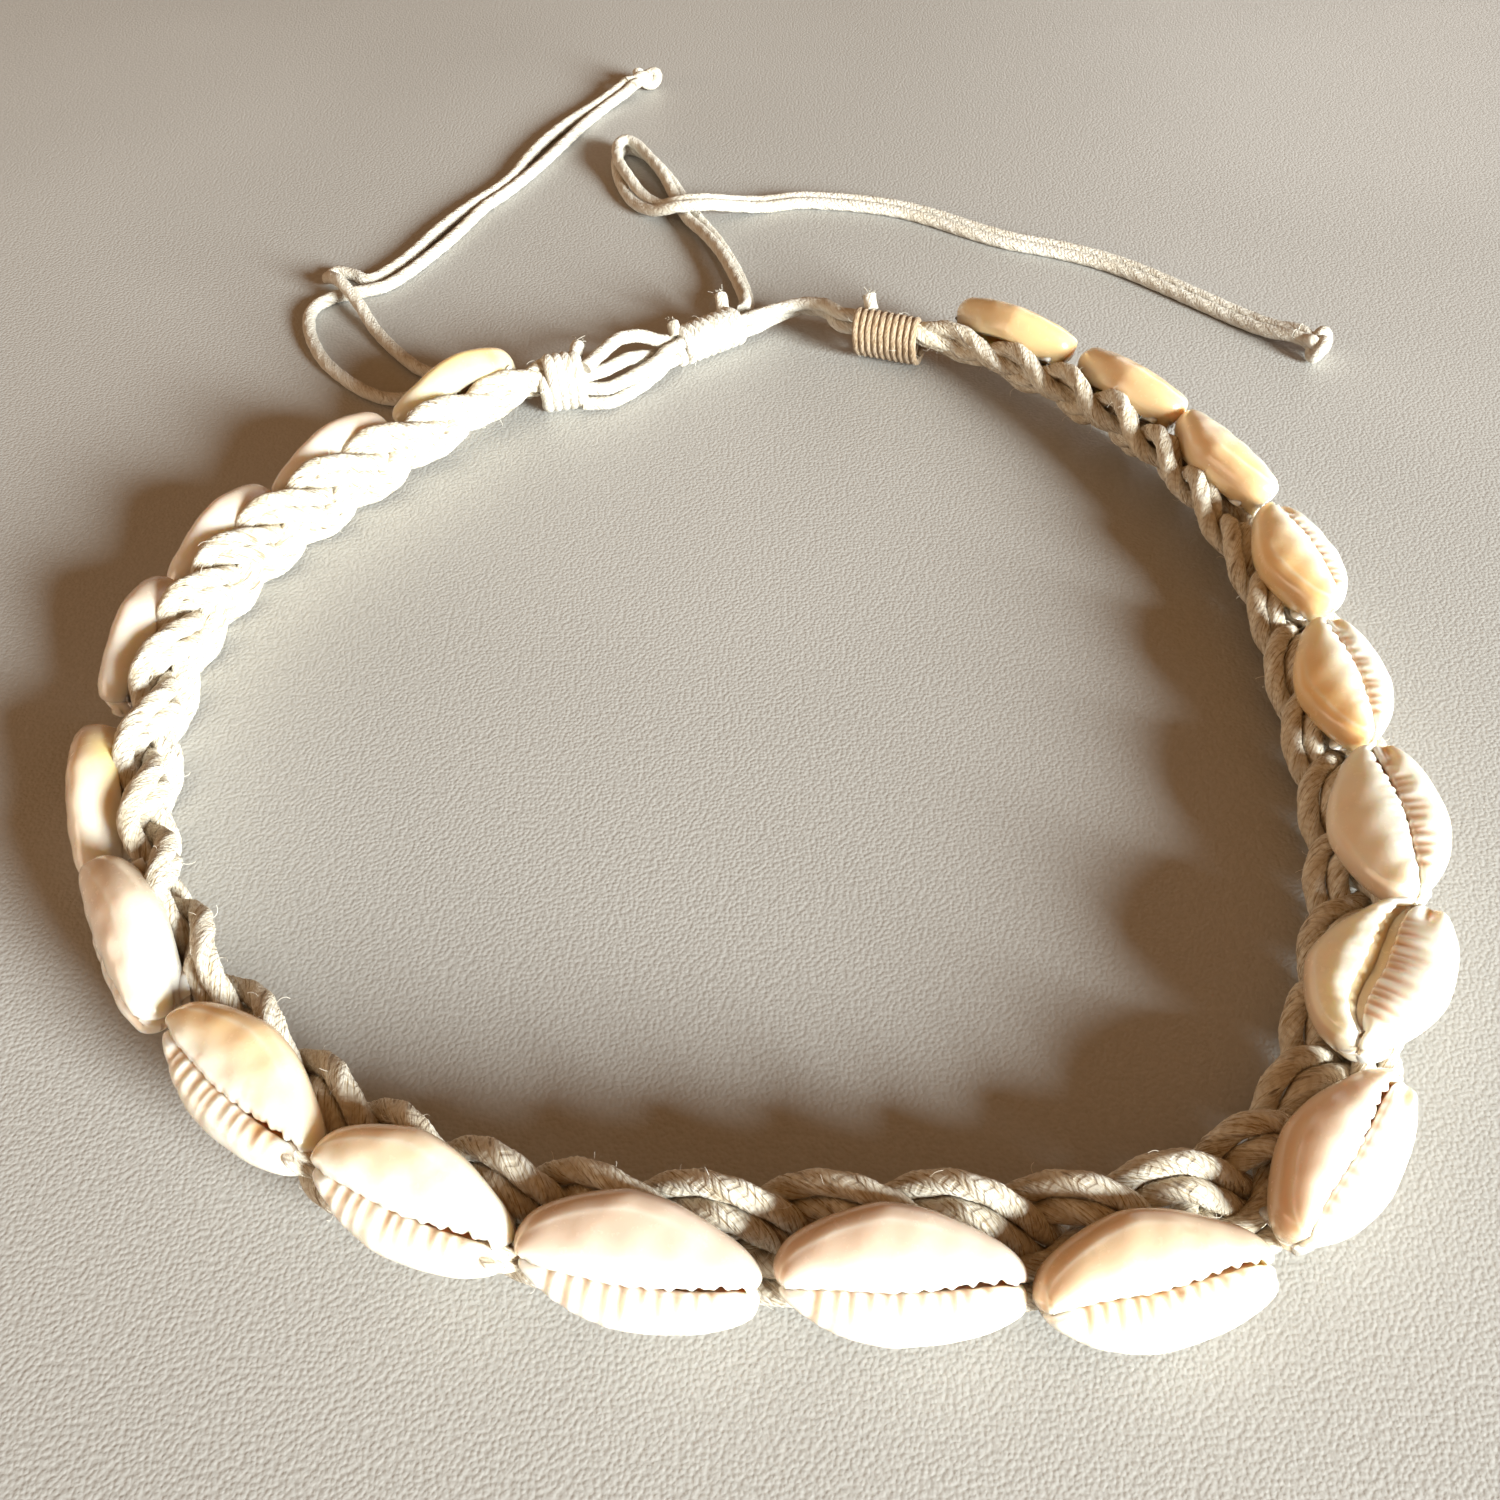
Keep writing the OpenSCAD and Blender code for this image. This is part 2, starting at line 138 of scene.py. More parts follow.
def linkObject(name, data):
    thing = bpy.data.objects.new(name, data)
    bpy.context.scene.collection.objects.link(thing)
    return thing


def meshObject(name, points, faces, material):
    mesh = bpy.data.meshes.new(name)
    mesh.from_pydata([tuple(v) for v in points], [], faces)
    mesh.polygons.foreach_set("use_smooth", [True] * len(mesh.polygons))
    mesh.materials.append(material)
    return linkObject(name, mesh)


def storeVector(mesh, name, values):
    layer = mesh.attributes.new(name, "FLOAT_VECTOR", "POINT")
    layer.data.foreach_set("vector", np.ascontiguousarray(values, dtype=np.float32).ravel())


def linesObject(name, lines):
    curve = bpy.data.curves.new(name, "CURVE")
    curve.dimensions = "3D"
    for line in lines:
        spline = curve.splines.new("POLY")
        spline.points.add(len(line) - 1)
        spline.points.foreach_set("co", np.concatenate([line * mm, np.ones((len(line), 1))], axis=1).ravel())
    return linkObject(name, curve)


# Shader pieces shared by several materials

def newMaterial(name):
    material = bpy.data.materials.new(name)
    material.use_nodes = True
    return material, material.node_tree, material.node_tree.nodes["Principled BSDF"]


def setSockets(tree, node, values):
    # sets the sockets that have a plain value, and links the others
    for key, value in values.items():
        socket = node.inputs[key]
        if isinstance(value, bpy.types.NodeSocket):
            tree.links.new(value, socket)
        else:
            socket.default_value = (*value, 1) if socket.type == "RGBA" else value


def addNode(tree, kind, values=None, settings=None):
    node = tree.nodes.new(kind)
    for key, value in (settings or {}).items():
        setattr(node, key, value)
    setSockets(tree, node, values or {})
    return node


def addSockets(tree, way, kind, *names):
    for name in names:
        tree.interface.new_socket(name, in_out=way, socket_type="NodeSocket" + kind)


def ramp(tree, fac, stops):
    node = tree.nodes.new("ShaderNodeValToRGB")
    while len(node.color_ramp.elements) < len(stops):
        node.color_ramp.elements.new(1.0)
    for element, (place, colour) in zip(node.color_ramp.elements, stops):
        element.position = place
        element.color = (*colour, 1)
    tree.links.new(fac, node.inputs["Fac"])
    return node.outputs["Color"]


def mixColour(tree, fac, a, b):
    return addNode(tree, "ShaderNodeMix", {0: fac, 6: a, 7: b}, {"data_type": "RGBA"}).outputs[2]


def calc(tree, kind, a, b=0.0, clamp=False):
    return addNode(tree, "ShaderNodeMath", {0: a, 1: b}, {"operation": kind, "use_clamp": clamp}).outputs[0]


def times(tree, *values):
    out = values[0]
    for value in values[1:]:
        out = calc(tree, "MULTIPLY", out, value)
    return out


def between(tree, value, low, high, a=0.0, b=1.0):
    values = {"Value": value, "From Min": low, "From Max": high, "To Min": a, "To Max": b}
    return addNode(tree, "ShaderNodeMapRange", values, {"interpolation_type": "SMOOTHSTEP"}).outputs[0]


def noise(tree, vector, scale, detail, rough, flat=False):
    values = {"Vector": vector, "Scale": scale, "Detail": detail, "Roughness": rough}
    settings = {"noise_dimensions": "2D" if flat else "3D"}
    return addNode(tree, "ShaderNodeTexNoise", values, settings).outputs["Fac"]


def stretch(tree, vector, scale):
    return addNode(tree, "ShaderNodeMapping", {"Vector": vector, "Scale": scale}).outputs["Vector"]


def bump(tree, height, distance, strength):
    values = {"Height": height, "Distance": distance, "Strength": strength}
    return addNode(tree, "ShaderNodeBump", values).outputs["Normal"]


def attribute(tree, name, output="Vector"):
    return addNode(tree, "ShaderNodeAttribute", None, {"attribute_name": name}).outputs[output]


def split(tree, vector):
    return addNode(tree, "ShaderNodeSeparateXYZ", {0: vector}).outputs[:3]


def newTree(name, floats, whole):
    # a Geometry Nodes tree with its inputs: floats, then whole numbers
    tree = bpy.data.node_groups.new(name, "GeometryNodeTree")
    addSockets(tree, "INPUT", "Geometry", "Geometry")
    addSockets(tree, "INPUT", "Float", *floats)
    addSockets(tree, "INPUT", "Int", *whole)
    addSockets(tree, "INPUT", "Material", "Material")
    addSockets(tree, "OUTPUT", "Geometry", "Geometry")
    return tree, addNode(tree, "NodeGroupInput").outputs


def endTree(tree, geometry, material):
    real = addNode(tree, "GeometryNodeRealizeInstances", {"Geometry": geometry})
    values = {"Geometry": real.outputs["Geometry"], "Material": material}
    paint = addNode(tree, "GeometryNodeSetMaterial", values)
    addNode(tree, "NodeGroupOutput", {"Geometry": paint.outputs["Geometry"]})
    return tree


# Cotton cord: fibres run along the plies, with dark flecks between them, and painted shade in the valleys
# between the plies

# noises: stretch, scale, detail and roughness; lengths in metres
fibreSet = {
    "fine": ((1, 1, 0.12), 5200, 4, 0.66), "short": ((1, 1, 0.35), 1500, 3, 0.5), "patches": (140, 3, 0.5),
    "shaken": (500, 2, 0.5), "shake": 0.6, "fleckFrom": 0.62, "fleckGain": 12.0, "plies": 3,
    "yarnGap": 0.00066, "fold": 1.7, "yarns": (-0.2, 1.0)
}


def fibreGroup(s):
    group = bpy.data.node_groups.new("cotton fibres", "ShaderNodeTree")
    addSockets(group, "INPUT", "Vector", "Strand", "Place")
    addSockets(group, "OUTPUT", "Float", "Streaks", "Flecks", "Patches", "Yarns")
    start = group.nodes.new("NodeGroupInput")
    end = group.nodes.new("NodeGroupOutput")
    # strand is in metres: across the cord in x and y, turning with its plies, and along it in z
    strand, place = start.outputs["Strand"], start.outputs["Place"]
    fine, short = (noise(group, stretch(group, strand, s[k][0]), *s[k][1:]) for k in ("fine", "short"))
    flecks = calc(group, "SUBTRACT", short, s["fleckFrom"])
    flecks = calc(group, "MULTIPLY", flecks, s["fleckGain"], clamp=True)
    # short slanting lines, folded like a V on each ply
    across, over, ahead = split(group, strand)
    ply = times(group, calc(group, "ARCTAN2", over, across), s["plies"] / math.tau)
    fold = calc(group, "ABSOLUTE", calc(group, "SUBTRACT", calc(group, "FRACT", ply), 0.5))
    steps = calc(group, "ADD", calc(group, "DIVIDE", ahead, s["yarnGap"]), times(group, fold, s["fold"]))
    steps = calc(group, "ADD", steps, times(group, noise(group, place, *s["shaken"]), s["shake"]))
    yarns = between(group, calc(group, "SINE", times(group, steps, math.tau)), *s["yarns"])
    patches = noise(group, place, *s["patches"])
    for name, value in (("Yarns", yarns), ("Streaks", fine), ("Flecks", flecks), ("Patches", patches)):
        group.links.new(value, end.inputs[name])
    return group


fibres = fibreGroup(fibreSet)
cottonSet = {
    "tones": (0.36, 0.47, 0.59), "patches": (0.42, 0.68, 0.0, 0.6), "rough": (0.25, 0.6), "fleckDeep": 0.4,
    "yarnDeep": 0.18, "bump": (0.0003, 1.0),
    "shader": {"Sheen Weight": 0.2, "Sheen Roughness": 0.5, "Specular IOR Level": 0.12}
}


def cordMaterial(name, s, c=cottonSet):
    material, tree, shader = newMaterial(name)
    place = addNode(tree, "ShaderNodeTexCoord").outputs["Object"]
    values = {"Strand": attribute(tree, "strand"), "Place": place}
    cotton = addNode(tree, "ShaderNodeGroup", values, {"node_tree": fibres}).outputs
    streaks, flecks, patches, yarns = (cotton[k] for k in ("Streaks", "Flecks", "Patches", "Yarns"))
    groove = attribute(tree, "groove", "Fac")
    colour = ramp(tree, streaks, list(zip(c["tones"], (s["deep"], s["cotton"], s["pale"]))))
    colour = mixColour(tree, between(tree, patches, *c["patches"]), colour, s["tan"])
    # the groove layer darkens the valleys between the plies with the deep tone: painted shade
    layers = [(flecks, "flecks", "fleck"), (yarns, "yarns", "deep"), (groove, "groove", "deep")]
    for mask, share, tone in layers:
        colour = mixColour(tree, times(tree, mask, s[share]), colour, s[tone])
    rough = calc(tree, "ADD", times(tree, streaks, c["rough"][0]), c["rough"][1])
    height = calc(tree, "SUBTRACT", streaks, times(tree, flecks, c["fleckDeep"]))
    height = calc(tree, "SUBTRACT", height, times(tree, yarns, c["yarnDeep"]))
    normal = bump(tree, height, *c["bump"])
    setSockets(tree, shader, {"Base Color": colour, "Roughness": rough, "Normal": normal, **c["shader"]})
    return material


# groove in these sets: how strongly painted shade darkens the valleys between the plies
plaitCotton = cordMaterial("plait cotton", {
    "deep": (0.42, 0.29, 0.15), "cotton": (0.92, 0.85, 0.71), "pale": (0.98, 0.95, 0.87),
    "tan": (0.85, 0.73, 0.54), "fleck": (0.22, 0.13, 0.06), "flecks": 0.75, "groove": 0.35, "yarns": 0.2
})
# a darker copy of the cotton: painted shade for the right binding, which lies in the shells' shade
shadedCotton = cordMaterial("shaded cotton", {
    "deep": (0.30, 0.18, 0.09), "cotton": (0.48, 0.34, 0.21), "pale": (0.64, 0.50, 0.36),
    "tan": (0.38, 0.25, 0.14), "fleck": (0.12, 0.07, 0.03), "flecks": 0.5, "groove": 0.3, "yarns": 0.15
})
closureCotton = cordMaterial("closure cotton", {
    "deep": (0.58, 0.49, 0.37), "cotton": (0.80, 0.74, 0.64), "pale": (0.90, 0.86, 0.79),
    "tan": (0.70, 0.61, 0.48), "fleck": (0.25, 0.17, 0.10), "flecks": 0.35, "groove": 0.25, "yarns": 0.1
})


# A twisted cord along any lines: one node tree for all of them

def cordTree():
    tree, start = newTree("twisted cord", ("Step", "Radius", "Pitch", "Groove"), ("Plies", "Sides"))

    def store(geometry, name, kind, value):
        values = {"Geometry": geometry, "Name": name, "Value": value}
        node = addNode(tree, "GeometryNodeStoreNamedAttribute", values, {"data_type": kind})
        return node.outputs["Geometry"]

    def recall(name, kind):
        node = addNode(tree, "GeometryNodeInputNamedAttribute", {"Name": name}, {"data_type": kind})
        return node.outputs["Attribute"]

    # the line, with its tilt turning once in each pitch
    values = {"Curve": start["Geometry"], "Length": start["Step"]}
    line = addNode(tree, "GeometryNodeResampleCurve", values, {"mode": "LENGTH"}).outputs["Curve"]
    travel = addNode(tree, "GeometryNodeSplineParameter").outputs["Length"]
    tilt = times(tree, calc(tree, "DIVIDE", travel, start["Pitch"]), math.tau)
    turned = addNode(tree, "GeometryNodeSetCurveTilt", {"Curve": line, "Tilt": tilt}).outputs["Curve"]
    path = store(turned, "travel", "FLOAT", travel)

    # the round profile, with one lobe for each ply
    values = {"Radius": 1.0, "Resolution": start["Sides"]}
    ring = addNode(tree, "GeometryNodeCurvePrimitiveCircle", values).outputs["Curve"]
    share = calc(tree, "DIVIDE", addNode(tree, "GeometryNodeInputIndex").outputs[0], start["Sides"])
    angle = times(tree, share, math.tau, start["Plies"])
    wave = times(tree, calc(tree, "SUBTRACT", 1.0, calc(tree, "COSINE", angle)), 0.5)
    size = calc(tree, "SUBTRACT", 1.0, times(tree, wave, start["Groove"]))
    place = addNode(tree, "GeometryNodeInputPosition").outputs[0]
    values = {0: place, "Scale": times(tree, size, start["Radius"])}
    scaled = addNode(tree, "ShaderNodeVectorMath", values, {"operation": "SCALE"}).outputs["Vector"]
    values = {"Geometry": store(ring, "groove", "FLOAT", wave), "Position": scaled}
    lobed = addNode(tree, "GeometryNodeSetPosition", values).outputs["Geometry"]
    profile = store(lobed, "round", "FLOAT_VECTOR", place)

    values = {"Curve": path, "Profile Curve": profile, "Fill Caps": True}
    tube = addNode(tree, "GeometryNodeCurveToMesh", values).outputs["Mesh"]
    across, over, _ = split(tree, recall("round", "FLOAT_VECTOR"))
    values = {"X": across, "Y": over, "Z": recall("travel", "FLOAT")}
    strand = addNode(tree, "ShaderNodeCombineXYZ", values).outputs["Vector"]
    body = store(tube, "strand", "FLOAT_VECTOR", strand)
    smooth = addNode(tree, "GeometryNodeSetShadeSmooth", {"Geometry": body}).outputs["Geometry"]
    return endTree(tree, smooth, start["Material"])


def runTree(thing, tree, values, name):
    # runs a node tree on an object and keeps the result as a plain mesh
    modifier = thing.modifiers.new(tree.name, "NODES")
    modifier.node_group = tree
    ids = {item.name: item.identifier for item in tree.interface.items_tree if item.in_out == "INPUT"}
    for key, value in values.items():
        modifier[ids[key]] = value
    view = bpy.context.evaluated_depsgraph_get()
    made = thing.evaluated_get(view)
    mesh = bpy.data.meshes.new_from_object(made, preserve_all_data_layers=True, depsgraph=view)
    thing.modifiers.remove(modifier)
    bpy.data.objects.remove(thing)
    mesh.name = name
    for spare in ("travel", "round"):
        if spare in mesh.attributes:
            mesh.attributes.remove(mesh.attributes[spare])
    return linkObject(name, mesh)


twistedCord = cordTree()
cordSet = {"step": 0.6, "radius": 0.87, "pitch": 8.0, "groove": 0.06, "plies": 3, "sides": 15}


def makeCord(name, lines, material, changes=None):
    s = {**cordSet, **(changes or {})}
    return runTree(linesObject(name + "Lines", lines), twistedCord, {
        "Step": s["step"] * mm, "Radius": s["radius"] * mm, "Pitch": s["pitch"] * mm, "Groove": s["groove"],
        "Plies": s["plies"], "Sides": s["sides"], "Material": material
    }, name)


def settle(piece, slotName, *nodes):
    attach(piece, "root")
    if nodes:
        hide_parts(*nodes)


# The loose cord ends, before everything else, on the same routes as their solids

pairHalf = 0.88
leftTailStarts = {
    "A": [
        (-26.5, 48.8, 1.9), (-27.4, 50.0, 1.4), (-29.3, 52.5, 0.8), (-32.9, 55.3, 0.8), (-37.2, 54.2, 0.8),
        (-40.8, 55.0, 0.8), (-44.8, 59.2, 0.8), (-48.6, 64.4, 0.9), (-51.6, 69.2, 2.1), (-54.2, 72.6, 2.9),
        (-56.2, 75.2, 2.3), (-57.4, 77.4, 0.9), (-56.4, 79.2, 0.8), (-54.0, 78.4, 0.8)
    ],
    "B": [
        (-26.3, 48.8, 3.7), (-27.4, 49.3, 3.2), (-29.2, 50.5, 2.3), (-32.4, 52.5, 0.9), (-36.2, 52.0, 0.8),
        (-40.2, 49.8, 0.8), (-43.6, 48.8, 0.8), (-47.0, 50.2, 0.8), (-50.8, 53.5, 0.8), (-54.4, 58.0, 0.8),
        (-57.2, 64.0, 0.8), (-58.0, 69.0, 0.8), (-56.4, 72.0, 0.8), (-53.6, 73.6, 0.8)
    ]
}
leftPair = [
    # x, y, z, half distance
    (-50.5, 76.2, 0.8, 1.4), (-47.8, 79.6, 0.8, 1.3), (-45.6, 83.8, 0.8, 1.3), (-43.6, 88.4, 0.8, 1.5),
    (-41.6, 93.0, 0.8, 1.4), (-39.2, 98.0, 0.8, 1.0), (-36.5, 102.3, 0.8, 0.9),
    (-34.2, 107.0, 0.8, 1.0), (-32.1, 112.9, 0.8, 1.5), (-29.7, 119.1, 0.8, 1.6),
    (-27.0, 125.0, 0.8, 1.3), (-23.7, 130.9, 0.8, 0.9), (-20.4, 135.4, 1.4, 0.9),
    (-19.1, 136.6, 2.1, 0.9)
]
rightPair = [
    # x, y, z, tilt
    (-0.1, 64.8, 2.7, 90), (0.2, 66.0, 2.7, 85), (0.3, 68.2, 2.5, 75), (0.0, 71.8, 1.8, 60),
    (-1.0, 76.8, 1.5, 50), (-2.7, 82.5, 1.5, 45), (-5.0, 88.4, 1.3, 30), (-7.6, 93.8, 1.1, 15),
    (-9.6, 99.2, 1.3, 30), (-11.7, 105.2, 1.5, 45), (-14.1, 110.6, 1.5, 50), (-16.2, 114.2, 1.6, 60),
    (-18.3, 115.5, 1.7, 75), (-19.6, 113.6, 1.7, 85), (-19.4, 108.8, 1.7, 80), (-17.8, 103.6, 1.5, 50),
    (-15.7, 99.2, 1.2, 25), (-12.8, 95.8, 1.6, 5), (-9.6, 94.2, 3.0, 0), (-5.6, 94.8, 3.0, 0),
    (-1.4, 97.0, 1.6, 0), (3.0, 98.4, 0.8, 0), (8.2, 99.6, 0.8, 0), (13.6, 99.2, 0.8, 0),
    (18.8, 98.2, 0.8, 0), (23.6, 96.6, 0.8, 0), (28.2, 94.0, 0.8, 0), (32.8, 90.8, 0.8, 0),
    (37.8, 87.8, 0.8, 0), (43.2, 85.8, 0.8, 0), (48.4, 83.4, 0.8, 0), (53.0, 80.4, 0.8, 0),
    (57.4, 76.4, 0.8, 0), (61.6, 72.2, 0.8, 0), (65.8, 68.0, 0.8, 0), (69.2, 64.4, 1.2, 0),
    (72.1, 61.9, 2.0, 0)
]


tailSet = {"lift": 0.1, "thick": 1.6, "points": 160}


def makeTail(name, node, points, s=tailSet):
    line = smoothLine(points, 8)
    line[:, 2] += s["lift"]
    piece = makeCord(name, [line], closureCotton)
    settle(piece, "cord", node)
    long = float(travelled(line)[-1])
    note(name + " is %.0f mm long" % long)


# Knots at the ends: the pair turns round itself, and the two cords run into its middle

knotSet = {"long": 0.78, "wide": 0.40, "high": 0.80, "rise": 1.75, "radius": 0.85}
endKnots = {
    "left": {"middle": (-16.8, 139.5), "heading": 20, "node": "left_end_knot"},
    "right": {"middle": (74.2, 59.8), "heading": 60, "node": "right_end_knot"}
}


def makeEndKnot(name, k, tails, s):
    h = math.radians(k["heading"])
    middle = np.array([*k["middle"], s["rise"]])
    t = np.linspace(0, math.tau, 90)[:, None]
    # an overhand knot, drawn tight and longer than it is wide
    loop = middle + s["long"] * (np.sin(t) + 2 * np.sin(2 * t)) * along(h)
    loop = loop + s["wide"] * (np.cos(t) - 2 * np.cos(2 * t)) * outward(h)
    loop = loop + s["high"] * np.sin(3 * t) * np.array([0, 0, 1.0])
    lines = [loop]
    for tail in tails:
        lines.append(smoothLine([tail[-2], tail[-1], 0.4 * tail[-1] + 0.6 * middle, middle], 6)[6:])
    piece = makeCord(name, lines, closureCotton, {"step": 0.4, "radius": s["radius"]})
    settle(piece, "cord", k["node"])
    return piece


leftPairLines = pairLines(leftPair)
rightPairLines = pairLines(rightPair, pairHalf)
endKnots["left"]["tails"] = leftPairLines
endKnots["right"]["tails"] = rightPairLines
for knotName, knot in endKnots.items():
    knot["piece"] = makeEndKnot(knotName + "EndKnot", knot, knot["tails"], knotSet)
for i, letter in enumerate("AB"):
    start = np.array(leftTailStarts[letter])
    node = letter.lower()
    points = np.concatenate([start, leftPairLines[i]])
    makeTail("leftTail" + letter, "left_tail_" + node, points)
    makeTail("rightTail" + letter, "right_tail_" + node, rightPairLines[i])
note("loose ends")


# Shells: x, y, heading, roll, length, width, slit gap, shift of the plait, slit place

shellTable = [
    (-34.7, 44.3, -136, 5, 17.0, 9.2, 0.7, 0, 0.11),
    (-46.7, 30.8, -127, 4, 16.4, 9.0, 0.7, 0, 0.11),
    (-55.7, 17.1, -114, 3, 16.0, 9.0, 0.7, 0, 0.11),
    (-60.1, 1.6, -94, 0, 16.4, 9.2, 0.7, 0, 0.11),
    (-58.0, -19.2, -73, 0, 17.2, 9.4, 0.7, 0, 0.11),
    (-49.6, -35.8, -58, 22, 17.2, 8.2, 0.7, -1.4, 0.11),
    (-37.2, -48.6, -38, 60, 17.2, 8.8, 0.7, -0.5, 0.11),
    (-23.1, -57.6, -22, 53, 16.2, 9.0, 0.7, -0.6, 0.09),
    (-7.0, -62.0, -7, 47, 17.4, 9.6, 0.7, 0.2, 0.11),
    (11.1, -62.7, 2, 52, 17.6, 9.7, 0.7, 1.1, 0.07),
    (28.7, -62.8, 14, 59, 17.4, 9.6, 0.7, 2.2, 0.05),
    (43.9, -54.0, 52, 75, 17.0, 8.6, 0.7, 1.3, 0.03),
    (51.0, -38.8, 57, 101, 15.8, 10.8, 2.0, 1.1, -0.04),
    (56.2, -23.4, 90, 100, 16.4, 10.1, 0.7, 1.2, 0.11),
    (57.2, -6.0, 94, 91, 15.8, 8.9, 0.7, 0.2, 0.11),
    (57.5, 11.6, 102, 79, 16.2, 9.0, 0.7, -0.2, 0.11),
    (53.8, 28.6, 115, 56, 16.4, 9.0, 0.7, 0, 0.11),
    (45.9, 42.6, 128, 38, 16.0, 8.8, 0.7, 0, 0.11),
    (33.8, 54.8, 140, 33, 17.0, 9.2, 0.7, 0, 0.11)
]
solidSet = {
    "face": 2.5, "wide": 9.4, "thick": 3.8, "standOff": 5.0, "endShare": 0.42,
    "section": [(1, 0.6, 0, 2.7), (1, 0, 0, 0), (0.9, 0, 0.62, 0), (0.6, 0, 0.94, 0), (0.12, 0, 1, 0)],
    "sides": 20, "upperPower": 1.15, "lowerPower": 1.04, "beakPower": 0.42, "crownPower": 0.8, "taper": 0.15
}


def ovalReach(wide, thick, e):
    return math.hypot(wide / 2 * math.cos(e), thick / 2 * math.sin(e))


def shellHeight(row, s):
    # how high the solid's middle lies, with its lowest point on the floor
    roll, _, wide, gap, shift, slit = row[3:]
    e = math.radians(roll)
    reach = 0
    for i in range(s["sides"]):
        a = math.tau * (i + 0.5) / s["sides"]
        upper = math.sin(a) > 0
        power = s["upperPower"] if upper else s["lowerPower"] - s["beakPower"] * math.cos(a)
        taper = 1 - math.copysign(s["taper"], math.sin(a)) * math.cos(a)
        crown = s["endShare"] + (1 - s["endShare"]) * abs(math.sin(a)) ** s["crownPower"]
        crown *= s["face"]
        for out, inset, up, drop in s["section"]:
            edge = (wide / 2 - inset) * math.copysign(abs(math.sin(a)) ** power, math.sin(a)) * taper
            rim = gap / 2 * math.sin(a) - slit * wide
            across = rim + (edge - rim) * out
            reach = max(reach, -across * math.cos(e) - (up * crown - drop) * math.sin(e))
    behind = ovalReach(s["wide"], s["thick"], e) + s["standOff"] * math.sin(e) - shift * math.cos(e)
    return max(reach, behind)


shells = []
for row in shellTable:
    x, y, heading, roll, long, wide, gap, shift, slit = row
    h, e = math.radians(heading), math.radians(roll)
    shells.append({
        "middle": np.array([x, y, shellHeight(row, solidSet)]), "h": h, "e": e, "long": long, "wide": wide,
        "gap": gap, "shift": shift, "slit": slit
    })

# Stations of the plait: its middle, its roll and its place counted in shells

leftBinding = [(-25.2, 46.2, 14), (-18.6, 47.8, 16)]
rightBinding = [(23.0, 56.9, 35), (13.9, 59.9, 35)]
bindingSet = {
    "wide": 8.4, "thick": 5.4, "leftCord": 0.85, "leftTurns": 5, "leftShift": 0.9, "rightCord": 0.46,
    "rightTurns": 10.6
}


def endStation(end, place):
    e = math.radians(end[2])
    return [end[0], end[1], ovalReach(bindingSet["wide"], bindingSet["thick"], e), e, place]


stations = [endStation(leftBinding[1], -1), endStation(leftBinding[0], -0.5)]
for i, shell in enumerate(shells):
    middle = shell["middle"] - solidSet["standOff"] * facing(shell["h"], shell["e"])
    middle = middle + shell["shift"] * upward(shell["h"], shell["e"])
    stations.append([*middle, shell["e"], i])
stations += [endStation(rightBinding[0], len(shells) - 0.5), endStation(rightBinding[1], len(shells))]
stations = np.array(stations)


# The plait: three strands of two cords each, over and under

plaitSet = {
    "swing": 3.0, "rise": -1.12, "period": 1.5, "phase": 30, "apart": 0.97, "nearer": 0.35, "cup": 0.75,
    "deeper": 0.8, "tuck": 0.84, "lift": 0.17, "gather": 1.9, "narrow": 0.42, "entry": 0.12, "past": 0.22,
    "spacing": 17.6, "points": 1500
}
plaitCord = {"radius": 1.02, "step": 0.6, "sides": 15, "pitch": 9.0, "groove": 0.11}


def makePlait(s, cord):
    rows = evenLine(smoothLine(stations, 24), s["points"])
    place = rows[:, 4]
    last = len(shells) - 0.5
    keep = (place > -0.5 - s["past"]) & (place < last + s["past"])
    rows, place = rows[keep], place[keep]
    middle = rows[:, :3].copy()
    roll = rows[:, 3]
    low = np.hypot(solidSet["wide"] / 2 * np.cos(roll), solidSet["thick"] / 2 * np.sin(roll))
    middle[:, 2] = np.maximum(middle[:, 2], low)
    d = directions(middle)
    heading = np.arctan2(d[:, 1], d[:, 0])
    u = np.array([upward(h, e) for h, e in zip(heading, roll)])
    n = np.array([facing(h, e) for h, e in zip(heading, roll)])
    # the strands draw together where they enter the bindings
    fromEnd = np.minimum(place + 0.5, last - place) + s["entry"]
    spread = np.clip(fromEnd / s["gather"], 0.0, 1.0)
    spread = (s["narrow"] + (1 - s["narrow"]) * spread * spread * (3 - 2 * spread))[:, None]
    lines = []
    for strand in range(3):
        a = math.tau * place / s["period"] + math.radians(120 * strand + s["phase"])
        # lower lobes are drawn in, and upper ones stand out where the plait lies back
        over = np.where(np.sin(a) < 0, 0.0, np.sin(roll))
        lobe = np.where(np.sin(a) < 0, s["tuck"], 1.0 + s["lift"] * over)
        swing = (s["swing"] * lobe * np.sin(a))[:, None]
        rise = (s["rise"] * np.sin(2 * a))[:, None]
        lean = np.arctan(s["swing"] * np.cos(a) * math.tau / (s["period"] * s["spacing"]))[:, None]
        across = np.cos(lean) * u - np.sin(lean) * d
        cup = (s["nearer"] + s["cup"] * (1 + s["deeper"] * over) * np.sin(a) ** 2)[:, None]
        for side in (-1, 1):
            lines.append(middle + cup * n + spread * (swing * u + rise * n + side * s["apart"] * across))
    piece = makeCord("plaitStrands", lines, plaitCotton, cord)
    settle(piece, "cord", "plait")
    return piece


plaitPiece = makePlait(plaitSet, plaitCord)
note("plait")


# Cord wound round the ends of the plait and round the closure cords

windSet = {"points": 40, "entry": 3.2, "least": 0.25, "first": 0.6, "step": 0.45}


